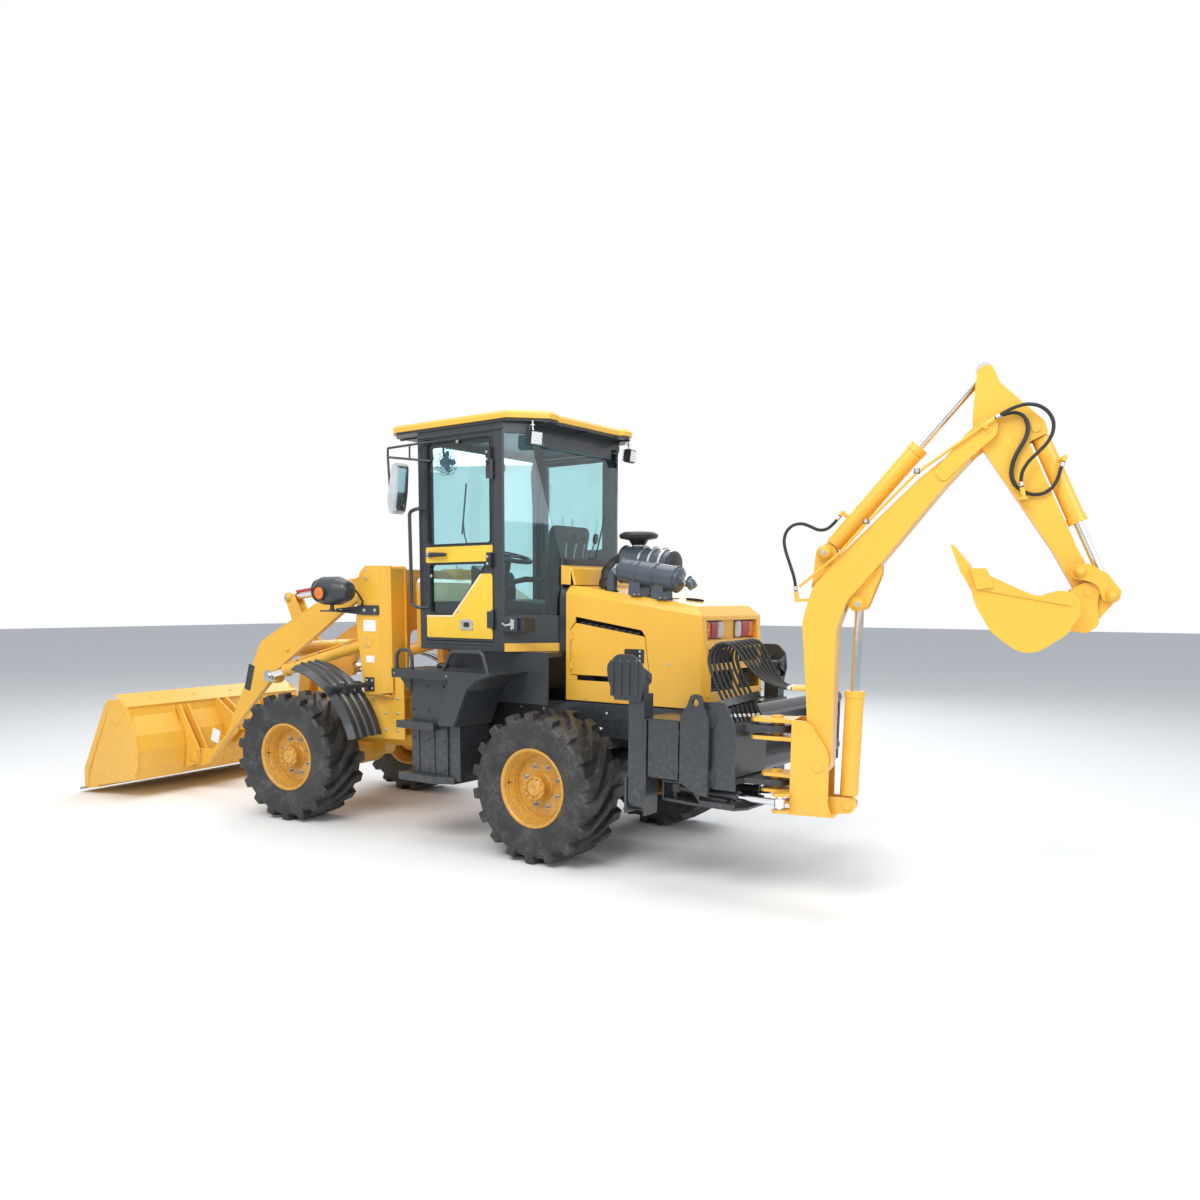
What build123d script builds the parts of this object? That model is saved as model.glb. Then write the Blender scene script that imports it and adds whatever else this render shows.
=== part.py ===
from build123d import *
import os
from math import atan, atan2, cos, degrees, hypot, radians, sin, sqrt, tan

# Articulated backhoe loader. Millimetres. +X to the rear (towards the hoe), +Y to the machine's
# right, +Z up. The origin is on the ground, under the middle of the rear axle.
# Pieces of the front frame are drawn with the machine straight and then turned by FRONT_TURN about
# the articulation pin. Pieces of the hoe are drawn in the hoe's own plane, with X along its reach,
# Y across it and the swing pin at X = Y = 0, and then turned by HOE_SWING about that pin.

# ---------------------------------------------------------------- sizes
WHEELBASE = 2620
TRACK_HALF = 785
TYRE_R = 528
TYRE_W = 410
RIM_R = 278
RIM_W = 344
AXLE_TUBE_R = 85
DRUM_R = 150

ARTIC_X = -1310
ARTIC_PIN_R = 35
FRONT_TURN = 7.5

FRAME_HALF = 440            # outside of the rear frame's side plates
FRAME_Z = (850, 1085)
FRAME_PLATE = 20
FRAME_REAR_X = 1190
FRONT_HALF = 320            # outside of the front frame's side plates
FRONT_Z = (600, 1015)
FRONT_PLATE = 20

HOOD_HALF = 413
HOOD_X = (-120, 1048)
HOOD_SKIN = 10
HOOD_Z = (1095, 1919)       # lower edge, and top at the front end
HOOD_REAR_Z = 1775

CAB_HALF = 712
CAB_X = (-1300, -460)       # windscreen plane and door post
CAB_Z = (1440, 3050)
CAB_WALL = 45
CAB_WAIST_Z = 2100          # lower edge of the rear window
CAB_TAIL = (-188, 364)      # rear corner below the waist: x, half width
CAB_TAIL_TOP = (-341, 560)  # rear corner at the roof
GLASS = 6
ROOF_X = (-1650, -190)
ROOF_HALF = 742
ROOF_T = 52
ROOF_LINER_T = 18          # dark sheet under the roof panel
ROOF_NOTCH = 40             # how far the middle of the rear edge is set in

ARM_PIVOT = (-1990, 2008)   # loader arm and tilt ram pins on the tower: x, z
LIFT_BASE = (-1985, 1478)
LIFT_EYE = (-3185, 1150)
BUCKET_PIN = (-4250, 345)
CRANK_PIN = (-3195, 1342)
CRANK_TOP = (-3440, 1830)
CRANK_LOW = (-3340, 690)
LINK_PIN = (-4228, 594)     # link pin on the bucket
ARM_Y = (450, 500)
ARM_BORE_R = 31
LOADER_PIN_R = 30
LIFT_Y = 558
TOWER_Y = 635
TOWER_INNER_Y = 405
TOWER_Z = (1040, 2080)
TOWER_X = (-2110, -1790)
TOWER_BEND_X = -1860
TOWER_PLATE = 15
CROSS_X = -1890             # rear face of the plate that joins the towers
BUCKET_HALF = 1060

SWING_PIN = (1720, -750)    # hoe swing pin on the carriage at rest: x, y
HOE_SWING = 14.3
BAR_X = 1360
BAR_R = 47
BAR_Z = (748, 1103)
HOE_FRAME_HALF = 985
CARRIAGE_Y = (-945, -550)
CARRIAGE_X = (1275, 1550)
FORK_Z = ((730, 762), (1045, 1085))
SWING_EYE = (60, 172)       # swing ram eyes on the post: reach, half spread
SWING_BASE = (1080, 85)    # swing ram base pins on the carriage: x, half spread
SWING_Z = 648
SWING_RAM_PIN_R = 18

BOOM_FOOT = (265, 865)
BOOM_RAM_BASE = (425, 640)
BOOM_RAM_EYE = (445, 1795)
DIPPER_RAM_BASE = (252, 2080)
DIPPER_RAM_EYE = (1030, 3005)
BOOM_TIP = (1055, 2700)
BUCKET_RAM_BASE = (1295, 2697)
ROCKER_PIN = (1537, 1960)
ROCKER_EYE = (1692, 1842)
HOE_BUCKET_PIN = (1587, 1857)
HOE_LINK_PIN = (1590, 1700)
BOOM_HALF = 95
DIPPER_HALF = 60
HOE_EAR_Y = (66, 84)
ROCKER_Y = (90, 104)

STEER_BASE = (-950, -230, 1130)     # steering ram pins: on the rear frame, and on the front frame
STEER_EYE = (-1650, -230, 1130)     # when the machine is straight
STEER_GAP = 62

RIGGER_X = (815, 930)
RIGGER_Y = -930
RIGGER_Z = 560
PAD_Z = 1330

MID = Align.CENTER
LOW = Align.MIN


# ---------------------------------------------------------------- shape helpers
def block(x, y, z):
    """A box between the two ends given for each axis."""
    size = Box(x[1] - x[0], y[1] - y[0], z[1] - z[0])
    return Pos((x[0] + x[1]) / 2, (y[0] + y[1]) / 2, (z[0] + z[1]) / 2) * size


def room_at(points, index, radius):
    """The radius of a corner, or less where its two sides are too short for it."""
    here = Vector(*points[index][:2])
    before = Vector(*points[index - 1][:2]) - here
    after = Vector(*points[(index + 1) % len(points)][:2]) - here
    half = radians(before.get_angle(after)) / 2
    return min(radius, 0.46 * min(before.length, after.length) * tan(half))


def outline(points):
    """A closed outline. A third number on a point is the radius of that corner."""
    face = Polygon(*[point[:2] for point in points], align=None)
    for index, point in enumerate(points):
        if len(point) > 2:
            corner = face.vertices().sort_by_distance(Vector(point[0], point[1]))[0]
            face = fillet(corner, room_at(points, index, point[2]))
    return face


def across(points, y):
    """An outline in X and Z, as thick as from y[0] to y[1]."""
    return extrude(Plane.XZ.offset(-y[0]) * outline(points), y[1] - y[0], dir=(0, 1, 0))


def lengthways(points, x):
    """An outline in Y and Z, as long as from x[0] to x[1]."""
    return extrude(Plane.YZ.offset(x[0]) * outline(points), x[1] - x[0], dir=(1, 0, 0))


def upright(points, z):
    """An outline in X and Y, as tall as from z[0] to z[1]."""
    return extrude(Plane.XY.offset(z[0]) * outline(points), z[1] - z[0], dir=(0, 0, 1))


def bar_y(x, z, radius, y):
    """A round bar along Y."""
    return Pos(x, y[0], z) * Rot(-90, 0, 0) * Cylinder(radius, y[1] - y[0], align=(MID, MID, LOW))


def bar_x(y, z, radius, x):
    """A round bar along X."""
    return Pos(x[0], y, z) * Rot(0, 90, 0) * Cylinder(radius, x[1] - x[0], align=(MID, MID, LOW))


def bar_z(x, y, radius, z):
    """A round bar along Z."""
    return Pos(x, y, z[0]) * Cylinder(radius, z[1] - z[0], align=(MID, MID, LOW))


def strut(start, end, radius):
    """A round bar between two points."""
    start = Vector(*start)
    along = Vector(*end) - start
    return Plane(origin=start, z_dir=along) * Cylinder(radius, along.length, align=(MID, MID, LOW))


def bent_tube(points, radius, bend):
    """A round tube or bar that follows the points, with its corners bent."""
    path = FilletPolyline(*points, radius=bend)
    start = Plane(origin=path @ 0, z_dir=path % 0)
    return sweep(start * Circle(radius), path)


def spin_y(points):
    """A solid turned about the Y axis from an outline of radius and place along Y."""
    return revolve(outline(points), Axis.Y)


def joined(*pieces):
    """One shape from many."""
    first = pieces[0]
    return first + list(pieces[1:]) if len(pieces) > 1 else first


def apart(*shapes):
    """Shapes that touch but stay solids of their own."""
    return Compound([solid for shape in shapes for solid in shape.solids()])


def mirrored(shape):
    """The same shape on the machine's other side."""
    return mirror(shape, Plane.XZ)


def paired(shape):
    """A shape and its mirror image, as one."""
    return shape + mirrored(shape)


def front(shape):
    """Turns a piece of the front frame from straight ahead to where it rests."""
    return Pos(ARTIC_X, 0, 0) * Rot(0, 0, FRONT_TURN) * Pos(-ARTIC_X, 0, 0) * shape


def hoe(shape):
    """Moves a piece from the hoe's own plane to where it rests."""
    return Pos(SWING_PIN[0], SWING_PIN[1], 0) * Rot(0, 0, HOE_SWING) * shape


def ears(points, gap, thickness):
    """Two like plates each side of the Y = 0 plane, gap apart."""
    half = gap / 2
    return paired(across(points, (half, half + thickness)))


def lug(tip, foot, radius, width):
    """The outline of a lug: round about its pin, and as wide as given at its foot."""
    dx, dz = tip[0] - foot[0], tip[1] - foot[1]
    length = hypot(dx, dz)
    nx, nz = -dz / length * width / 2, dx / length * width / 2
    body = Polygon((foot[0] + nx, foot[1] + nz), (foot[0] - nx, foot[1] - nz),
                   (tip[0] - nx * 2 * radius / width, tip[1] - nz * 2 * radius / width),
                   (tip[0] + nx * 2 * radius / width, tip[1] + nz * 2 * radius / width), align=None)
    return body + Pos(tip[0], tip[1]) * Circle(radius)


def lug_plate(tip, foot, radius, width, y):
    """A lug as a plate from y[0] to y[1]."""
    shape = lug(tip, foot, radius, width)
    return extrude(Plane.XZ.offset(-y[0]) * shape, y[1] - y[0], dir=(0, 1, 0))


# ---------------------------------------------------------------- hydraulic rams
ROD_PLAY = 3                # between a rod and the barrel round it
EYE_RATIO = 1.75            # an eye's radius over its pin's
BARREL_BACK = 14            # from the base eye to the barrel
COLLAR = (38, 4)            # length, and how far it stands out
PIN_GAP = 3                 # from the end of a rod's own pin to the ears beside it


def ram(base, end, pin_axis, barrel_r, barrel_length, rod_r, eye_w, pin_r, goes_in, ears_gap):
    """The barrel and the rod of a ram, from its base pin to its rod's pin. The ears carry the base
    pin and the rod carries its own pin, which stops short of the ears. goes_in is how far the rod
    still goes in from rest."""
    base, end = Vector(*base), Vector(*end)
    length = (end - base).length
    place = Plane(origin=base, x_dir=end - base, z_dir=pin_axis)
    eye_r = pin_r * EYE_RATIO
    start = eye_r + BARREL_BACK

    def along(radius, ends):
        return Pos(ends[0], 0, 0) * Rot(0, 90, 0) * Cylinder(radius, ends[1] - ends[0], align=(MID, MID, LOW))

    barrel = along(barrel_r, (start, barrel_length)) + Cylinder(eye_r, eye_w)
    barrel += block((0, start + 2), (-eye_r * 0.8, eye_r * 0.8), (-eye_w / 2, eye_w / 2))
    barrel += along(barrel_r + COLLAR[1], (barrel_length - COLLAR[0], barrel_length))
    barrel -= [along(rod_r + ROD_PLAY, (start + 10, barrel_length + 1)), Cylinder(pin_r + 1, eye_w + 10)]
    rod = along(rod_r, (start + 16 + goes_in, length - eye_r * 0.7))
    rod += Pos(length, 0, 0) * (Cylinder(eye_r, eye_w) + Cylinder(pin_r, ears_gap - 2 * PIN_GAP))
    return place * barrel, place * rod


# ---------------------------------------------------------------- wheels and axles
def wheel(x, side):
    """A wheel on the right (side 1) or left (side -1): tyre, rim, disc and hub."""
    half = TYRE_W / 2
    flange = RIM_W / 2
    tyre = spin_y([(RIM_R - 14, -flange + 12), (RIM_R + 60, -half + 6, 40), (RIM_R + 150, -half, 60),
                   (TYRE_R, -half + 40, 40), (TYRE_R, half - 40, 40), (RIM_R + 150, half, 60),
                   (RIM_R + 60, half - 6, 40), (RIM_R - 14, flange - 12)])
    rim = spin_y([(RIM_R, flange), (RIM_R, flange - 12), (RIM_R - 20, flange - 22), (RIM_R - 34, 110),
                  (RIM_R - 34, -110), (RIM_R - 20, -flange + 22), (RIM_R, -flange + 12), (RIM_R, -flange),
                  (RIM_R - 16, -flange), (RIM_R - 34, -flange + 18), (RIM_R - 48, -110),
                  (RIM_R - 48, 110), (RIM_R - 34, flange - 18), (RIM_R - 16, flange)])
    disc = spin_y([(0, 38), (RIM_R - 40, 38), (RIM_R - 40, 52), (110, 52), (92, 60), (92, 104, 8),
                   (62, 104), (62, 122, 6), (0, 122)])
    shape = tyre + rim + disc
    turn = 0 if side > 0 else 180
    return Pos(x, side * TRACK_HALF, TYRE_R) * Rot(0, 0, turn) * shape


def axle(x, nose):
    """A drive axle: casing, brake drums and the pinion nose, which points to nose (1 or -1) along X."""
    end = TRACK_HALF + 24
    casing = spin_y([(0, -end), (DRUM_R, -end), (DRUM_R, -end + 150), (AXLE_TUBE_R, -end + 190),
                     (AXLE_TUBE_R, -300), (175, -110, 60), (175, 110, 60), (AXLE_TUBE_R, 300),
                     (AXLE_TUBE_R, end - 190), (DRUM_R, end - 150), (DRUM_R, end), (0, end)])
    pinion = Rot(0, 90 * nose, 0) * Cone(120, 70, 310, align=(MID, MID, LOW))
    return Pos(x, 0, TYRE_R) * (casing + pinion)


# ---------------------------------------------------------------- frames
def rear_frame():
    inner = FRAME_HALF - FRAME_PLATE
    beams = paired(block((-1120, FRAME_REAR_X), (inner, FRAME_HALF), FRAME_Z))
    bulkhead = block((-1120, -1100), (-inner, inner), (540, FRAME_Z[1]))
    tail = block((FRAME_REAR_X - 20, FRAME_REAR_X), (-inner, inner), (700, FRAME_Z[1]))
    saddles = paired(block((-110, 110), (300, inner), (TYRE_R + 60, FRAME_Z[1] - 60)))
    saddles -= bar_y(0, TYRE_R, AXLE_TUBE_R, (-500, 500))
    floor = block((-1120, -140), (-600, 600), (1405, 1440))
    skirts = paired(block((-1120, -140), (590, 600), (FRAME_Z[1], 1405)))
    ledges = paired(block((-1120, -140), (inner, 600), (FRAME_Z[1] - 20, FRAME_Z[1])))
    ear = [(-1110, -120), (ARTIC_X, -70), (ARTIC_X, 70), (-1110, 120)]
    hinge_ears = []
    for level in ((545, 575), (920, 950)):
        hinge_ears.append(upright(ear, level) + bar_z(ARTIC_X, 0, 70, level))
    pin = bar_z(ARTIC_X, 0, ARTIC_PIN_R, (535, 960))
    return joined(beams, bulkhead, tail, saddles, floor, skirts, ledges, *hinge_ears, pin, steering_bracket())


def steering_bracket():
    """The shelf and the ears that carry the base of the steering ram."""
    x, y, z = STEER_BASE
    inner = FRAME_HALF - FRAME_PLATE
    shelf = block((-1110, x + 80), (-inner, inner), (FRAME_Z[1] - 16, FRAME_Z[1]))
    upper = block((x - 36, x + 80), (y - 60, y + 60), (z + STEER_GAP / 2, z + STEER_GAP / 2 + 14))
    upper += block((x + 66, x + 80), (y - 60, y + 60), (FRAME_Z[1] - 2, z + STEER_GAP / 2 + 5))
    return joined(shelf, upper, bar_z(x, y, 20, (FRAME_Z[1] - 5, z + STEER_GAP / 2 + 5)))


def front_frame():
    inner = FRONT_HALF - FRONT_PLATE
    sides = paired(across([(-1430, 600), (-1430, 1015), (-2700, 1015), (-2960, 900), (-2960, 620),
                           (-2720, 600)], (inner, FRONT_HALF)))
    sides -= bar_y(-WHEELBASE, TYRE_R, AXLE_TUBE_R, (-500, 500))
    rear = block((-1450, -1430), (-inner, inner), FRONT_Z)
    nose = block((-2960, -2940), (-inner, inner), (620, 900))
    deck = block((-2300, -1450), (-inner, inner), (1000, 1015))
    lugs = []
    for level in ((590, 615), (880, 905)):
        plate = upright([(-1440, -130), (-1440, 130), (ARTIC_X, 65), (ARTIC_X, -65)], level)
        lugs.append(plate + bar_z(ARTIC_X, 0, 65, level) - bar_z(ARTIC_X, 0, ARTIC_PIN_R + 1, (500, 1000)))
    return joined(sides, rear, nose, deck, *lugs, paired(tower()), tower_joiner(), steering_lug())


def tower():
    """A tower post: a bent outer plate, a flat inner plate, a plate behind and the frame plate under
    them, with the pins of the arm and of the lift ram."""
    y, t = TOWER_Y, TOWER_PLATE
    x0, x1 = TOWER_X
    bend = TOWER_BEND_X
    inner_y = TOWER_INNER_Y
    low, top = TOWER_Z
    profile = [(x0 + 72, low), (x0, 1640, 60), (x0 + 45, top - 60, 30), (x0 + 100, top, 30), (x1 + 10, top, 20),
               (x1 + 10, low + 30)]
    bent = [(x0 - 5, y), (x0 - 5, y - t), (bend - 3, y - t), (x1, y - t - 60), (x1, y - 60), (bend, y)]
    post = upright(bent, TOWER_Z) & across(profile, (0, y + 20))
    post += across(profile, (inner_y - t, inner_y))
    post += block((x1 - t, x1), (inner_y - t, y - 70), (low, top - 20))
    post += across([(x0 + 70, low + 5), (x1 + 10, low + 5), (x1 + 10, 1225), (x1 + 90, 1225), (x1 + 100, 1180),
                    (x1 + 100, 690), (x0 + 5, 680)], (545, 560))
    post += block((x0 + 75, x1), (inner_y - t, 585), (low - 15, low + 5))
    post += block((x0 + 60, x1), (FRONT_HALF - 5, 552), (690, 705))
    post += block((x0 + 85, x1 - 20), (FRONT_HALF - 5, inner_y), (FRONT_Z[1] - 15, FRONT_Z[1]))
    post += across([(x0 + 85, FRONT_Z[1] - 15), (x1 - 20, FRONT_Z[1] - 15), (x1 - 20, low + 5), (x0 + 75, low + 5)],
                   (inner_y - t, inner_y))
    post += bar_y(*ARM_PIVOT, LOADER_PIN_R, (inner_y - t, y + 8))
    return post + bar_y(*LIFT_BASE, LOADER_PIN_R, (inner_y - t, y + 8))


def tower_joiner():
    """The plate between the towers, with its window and the ears of the tilt ram."""
    half = TOWER_INNER_Y - 5
    plate = lengthways([(-half, 1015), (half, 1015), (half, TOWER_Z[1] - 60), (260, TOWER_Z[1] - 20, 40),
                        (-260, TOWER_Z[1] - 20, 40), (-half, TOWER_Z[1] - 60)], (CROSS_X - 15, CROSS_X))
    plate -= lengthways([(-250, 1180, 60), (250, 1180, 60), (210, 1560, 60), (-210, 1560, 60)],
                        (CROSS_X - 40, CROSS_X + 20))
    ear = lug_plate(ARM_PIVOT, (CROSS_X - 5, ARM_PIVOT[1] - 30), 55, 150, (38, 58))
    return plate + paired(ear + bar_y(*ARM_PIVOT, LOADER_PIN_R, (0, 66)))


def steering_lug():
    """The fork of the steering ram's rod on the front frame."""
    x, y, z = STEER_EYE
    shape = block((x - 95, x - 81), (y - 50, y + 50), (1010, z + STEER_GAP / 2 + 14))
    for level in (z - STEER_GAP / 2 - 14, z + STEER_GAP / 2):
        shape += block((x - 85, x + 40), (y - 50, y + 50), (level, level + 14))
    return shape


def front_fenders_and_lamps():
    """Quarter-round ribbed fenders on their tubes, and head lamps on their brackets."""
    centre = Pos(-WHEELBASE, 0, TYRE_R)
    shell = [(733, 985), (741, 985), (773, 930, 20), (797, 650), (789, 650), (765, 930, 20)]
    ring = spin_y(shell)
    for y in (710, 790, 870):
        crest = 773 + (930 - y) * 24 / 280
        ring += spin_y([(crest - 4, y - 22), (crest + 14, y - 10), (crest + 14, y + 10), (crest - 4, y + 22)])
    sector = across([(0, 0), (900, 245), (900, 900), (150, 900)], (590, 1000))
    fender = centre * (ring & sector)
    y = TOWER_Y
    tube = strut((-1985, y + 8, 1132), (-2092, 1000, 1118), 21)
    clamps = [block((-2070, -2010), (700, 725), (1080, 1160)), block((-2090, -2030), (860, 885), (1070, 1155))]
    foot = block((-2020, -1930), (y + 1, y + 9), (1080, 1190))
    bracket = block((-2040, -1866), (y + 1, y + 9), (1692, 1765))
    bracket += across([(-2316, 1712), (-2040, 1692), (-2040, 1765), (-2316, 1740)], (y + 1, y + 9))
    bracket += block((-2316, -2180), (y + 1, 830), (1716, 1728))
    stem = bar_z(-2215, 795, 16, (1720, 1800))
    pod = revolve(outline([(-2330, 0), (-2330, 92), (-2290, 112, 40), (-2130, 112, 60), (-2020, 74, 50), (-1998, 0)]),
                  Axis.X)
    pod = Pos(0, 795, 1882) * pod
    amber = bar_y(-2237, 1862, 56, (840, 918))
    return paired(joined(fender, tube, *clamps, foot)), paired(joined(bracket, stem, pod, amber))


# ---------------------------------------------------------------- hood and engine
def hood():
    x0, x1 = HOOD_X
    z0, z1 = HOOD_Z
    inlet_x, inlet_y = MUFFLER_INLET
    side = [(x0, z0), (x0, z1), (925, HOOD_REAR_Z, 30), (x1 - 50, 1707, 20), (x1, z0 + 45), (x1 - 10, z0)]
    chamfer = 55
    s = HOOD_SKIN
    body = across(side, (-HOOD_HALF, HOOD_HALF))
    body -= paired(hood_edge(chamfer) + hood_corner(0))
    hollow_side = [(x0 - 5, z0 - 5), (x0 - 5, z1 - s), (925 - 6, HOOD_REAR_Z - s), (x1 - 50 - s, 1700 - s),
                   (x1 - s, z0 + 45), (x1 - s, z0 - 5)]
    hollow = across(hollow_side, (-HOOD_HALF + s, HOOD_HALF - s))
    hollow -= paired(hood_edge(chamfer + s * 1.6) + hood_corner(s))
    body -= hollow
    body -= paired(side_opening((HOOD_HALF - 40, HOOD_HALF + 10)))
    lamp_box = block((x1 - 93, x1 - 50), (-363, 363), (1540, 1688))
    body -= block((x1 - 120, x1 + 20), (-355, 355), (1548, 1680))
    body += lamp_box - block((x1 - 85, x1 + 20), (-355, 355), (1548, 1680))
    for column in ((-350, -34), (34, 350)):
        for row in ((1205, 1350), (1390, 1490)):
            body -= block((x1 - 90, x1 + 20), column, row)
    body -= bar_z(*TOP_HOLE, 62, (1700, 2000))
    return body - bar_z(inlet_x, inlet_y, 44, (1700, 2000))


TOP_HOLE = (702, 0)


def hood_corner(inset):
    """What is cut off the hood's upright rear corner."""
    wedge = Pos(HOOD_X[1] - inset * 1.4, HOOD_HALF - inset * 1.4, 0) * Rot(0, 0, 45)
    return wedge * Box(70, 70, 5000)


def side_opening(y):
    """The hole in the hood's side: the engine door and the slots above and below it."""
    slot_top = across([(-35, 1694), (530, 1608), (561, 1566), (556, 1560), (-35, 1645)], y)
    slot_low = across([(-22, 1241), (603, 1241), (603, 1290), (-22, 1290)], y)
    return side_door(0, y) + slot_top + slot_low


def hood_top(x):
    """The height of the hood's top at x."""
    return HOOD_Z[1] - (x - HOOD_X[0]) * (HOOD_Z[1] - HOOD_REAR_Z) / (925 - HOOD_X[0])


MUFFLER_INLET = (200, -300)


def hood_edge(cut):
    """What is cut off the hood's long top edge."""
    drop = (HOOD_Z[1] - HOOD_REAR_Z) / (925 - HOOD_X[0])
    tilt = degrees(atan(drop))
    wedge = Pos(HOOD_X[0], HOOD_HALF, HOOD_Z[1]) * Rot(0, tilt, 0) * Rot(45, 0, 0)
    return wedge * Box(3200, cut * sqrt(2), cut * sqrt(2))


DOOR_GAP = 6


def side_door(gap, y):
    """The engine side door's outline, drawn in by gap."""
    points = [(-81 + gap, 1274 + gap, 15), (-81 + gap, 1608 - gap, 15), (-40 + gap, 1656 - gap, 15),
              (560 - gap, 1571 - gap, 15), (604 - gap, 1274 + gap, 15)]
    return across(points, y)


def engine_door():
    """The engine side door with the knuckles of its hinge."""
    leaf = side_door(DOOR_GAP, (HOOD_HALF - HOOD_SKIN, HOOD_HALF))
    return joined(leaf, *[bar_z(-72, HOOD_HALF + 4, 6, level) for level in ((1320, 1370), (1530, 1580))])


def engine_block():
    return block((0, 780), (-230, 230), (900, 1640)) + block((830, 900), (-330, 330), (1100, 1620)) \
        + block((770, 840), (-60, 60), (1200, 1400))


# ---------------------------------------------------------------- cab
def cab_plan(inset, tail):
    """The cab's plan, drawn in by inset, with the given rear corner."""
    x0, post = CAB_X
    half = CAB_HALF - inset
    tail_x, tail_y = tail
    slant = inset * 0.6
    return Polygon((x0 + inset, -half), (post - slant * 0.3, -half), (tail_x - inset, -tail_y + slant * 0.45),
                   (tail_x - inset, tail_y - slant * 0.45), (post - slant * 0.3, half), (x0 + inset, half), align=None)


def cab_prism(inset, z):
    """The cab's body between z[0] and z[1]: upright below the waist, and leaning in above it."""
    low = extrude(Plane.XY.offset(z[0]) * cab_plan(inset, CAB_TAIL), CAB_WAIST_Z - z[0], dir=(0, 0, 1))
    sections = [Plane.XY.offset(CAB_WAIST_Z) * cab_plan(inset, CAB_TAIL),
                Plane.XY.offset(z[1]) * cab_plan(inset, CAB_TAIL_TOP)]
    return low + loft(sections, ruled=True)


DOOR_X = (-1232, -548)
DOOR_Z = (1504, 2990)
QUARTER_Z = (1700, 2975)    # lower and upper edge of the quarter glass
REAR_GLASS_TOP = 2900


def window_cuts(grow):
    """Cutters of the fixed windows, larger by grow all round. Above the waist the quarter windows and
    the rear window meet at the corners with no post between them."""
    g = grow
    windscreen = block((CAB_X[0] - 60, CAB_X[0] + 120), (-CAB_HALF + 70 - g, CAB_HALF - 70 + g),
                       (1800 - g, 2970 + g))
    post_x, tail_x, tail_y = CAB_X[1], CAB_TAIL[0], CAB_TAIL[1]
    length = hypot(tail_x - post_x, CAB_HALF - tail_y)
    turn = degrees(atan2(CAB_HALF - tail_y, tail_x - post_x))
    low = block((14 - g, length - 12 + g), (-60, 70), (QUARTER_Z[0] - g, CAB_WAIST_Z + 20 + g))
    high = block((14 - g, length + 80), (-60, 70), (CAB_WAIST_Z + 15 - g, QUARTER_Z[1] + g))
    quarter = Pos(post_x, -CAB_HALF, 0) * Rot(0, 0, turn) * (low + high)
    half = CAB_TAIL_TOP[1] + 40
    rear = block((-420, CAB_TAIL[0] + 80), (-half, half), (CAB_WAIST_Z + 15 - g, REAR_GLASS_TOP + g))
    return windscreen, paired(quarter), rear


def cab_glass():
    shell = cab_prism(20, (CAB_Z[0] + 50, CAB_Z[1] - 20)) - cab_prism(20 + GLASS, (CAB_Z[0] + 40, CAB_Z[1] - 10))
    windscreen, quarter, rear = window_cuts(14)
    return shell & (windscreen + quarter + rear)


def cab_frame():
    wall = cab_prism(0, CAB_Z) - cab_prism(CAB_WALL, (CAB_Z[0] + 30, CAB_Z[1] - 40))
    for cut in window_cuts(0):
        wall -= cut
    wall -= paired(block(DOOR_X, (CAB_HALF - 80, CAB_HALF + 20), DOOR_Z))
    wall -= cab_glass()
    liner = upright(roof_plan(15), (CAB_Z[1] - 0.5, CAB_Z[1] + ROOF_LINER_T))
    return joined(wall, liner, engine_duct())


def engine_duct():
    """The dark rubber-edged panel between the cab's rear wall and the hood."""
    half, top = 398, 1918
    edge = [(-half, 1441), (half, 1441), (half, 1850, 60), (half - 58, top, 60), (58 - half, top, 60), (-half, 1850, 60)]
    return lengthways(edge, (CAB_TAIL[0] - 2, HOOD_X[0] - 1))


def cab_door(side):
    """A cab door: a leaf as thick as the wall, with an upper and a lower window."""
    g = DOOR_GAP
    y = (CAB_HALF - 40, CAB_HALF)
    leaf = block((DOOR_X[0] + g, DOOR_X[1] - g), y, (DOOR_Z[0] + g, DOOR_Z[1] - g))
    upper, lower = door_windows(0)
    leaf -= [upper, lower]
    leaf -= door_panes()
    hinge = bar_z(DOOR_X[1] - 2, CAB_HALF + 14, 12, (1600, 1740)) + bar_z(DOOR_X[1] - 2, CAB_HALF + 14, 12,
                                                                      (2660, 2800))
    hinge += block((DOOR_X[1] - 60, DOOR_X[1] - 2), (CAB_HALF - 2, CAB_HALF + 10), (1610, 1730))
    hinge += block((DOOR_X[1] - 60, DOOR_X[1] - 2), (CAB_HALF - 2, CAB_HALF + 10), (2670, 2790))
    leaf += hinge
    return leaf if side > 0 else mirrored(leaf)


def door_windows(grow):
    g = grow
    y = (CAB_HALF - 60, CAB_HALF + 20)
    upper = across([(-1206 - g, 2222 - g, 30), (-576 + g, 2222 - g, 30), (-576 + g, 2962 + g, 30),
                    (-1206 - g, 2962 + g, 30)], y)
    lower = across([(-1188 - g, 1708 - g, 30), (-952, 1708 - g, 50), (-684 + g, 2000, 40), (-612 + g, 2072 + g, 10),
                    (-1188 - g, 2072 + g, 30)], y)
    return upper, lower


def door_panes():
    y = (CAB_HALF - 26, CAB_HALF - 20)
    upper, lower = door_windows(12)
    slab = block((DOOR_X[0] + 20, DOOR_X[1] - 20), y, (DOOR_Z[0] + 20, DOOR_Z[1] - 20))
    return (upper & slab) + (lower & slab)


def roof_plan(inset):
    """The roof's plan, drawn in by inset: cut corners, and the middle of the rear edge set in."""
    x0, x1 = ROOF_X[0] + inset, ROOF_X[1] - inset
    half = ROOF_HALF - inset
    left = [(x0, -half + 120), (x0 + 120, -half), (x1 - 200, -half), (x1, -half + 230), (x1, -half + 330),
            (x1 - ROOF_NOTCH, -half + 350)]
    return left + [(x, -y) for x, y in reversed(left)]


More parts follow.
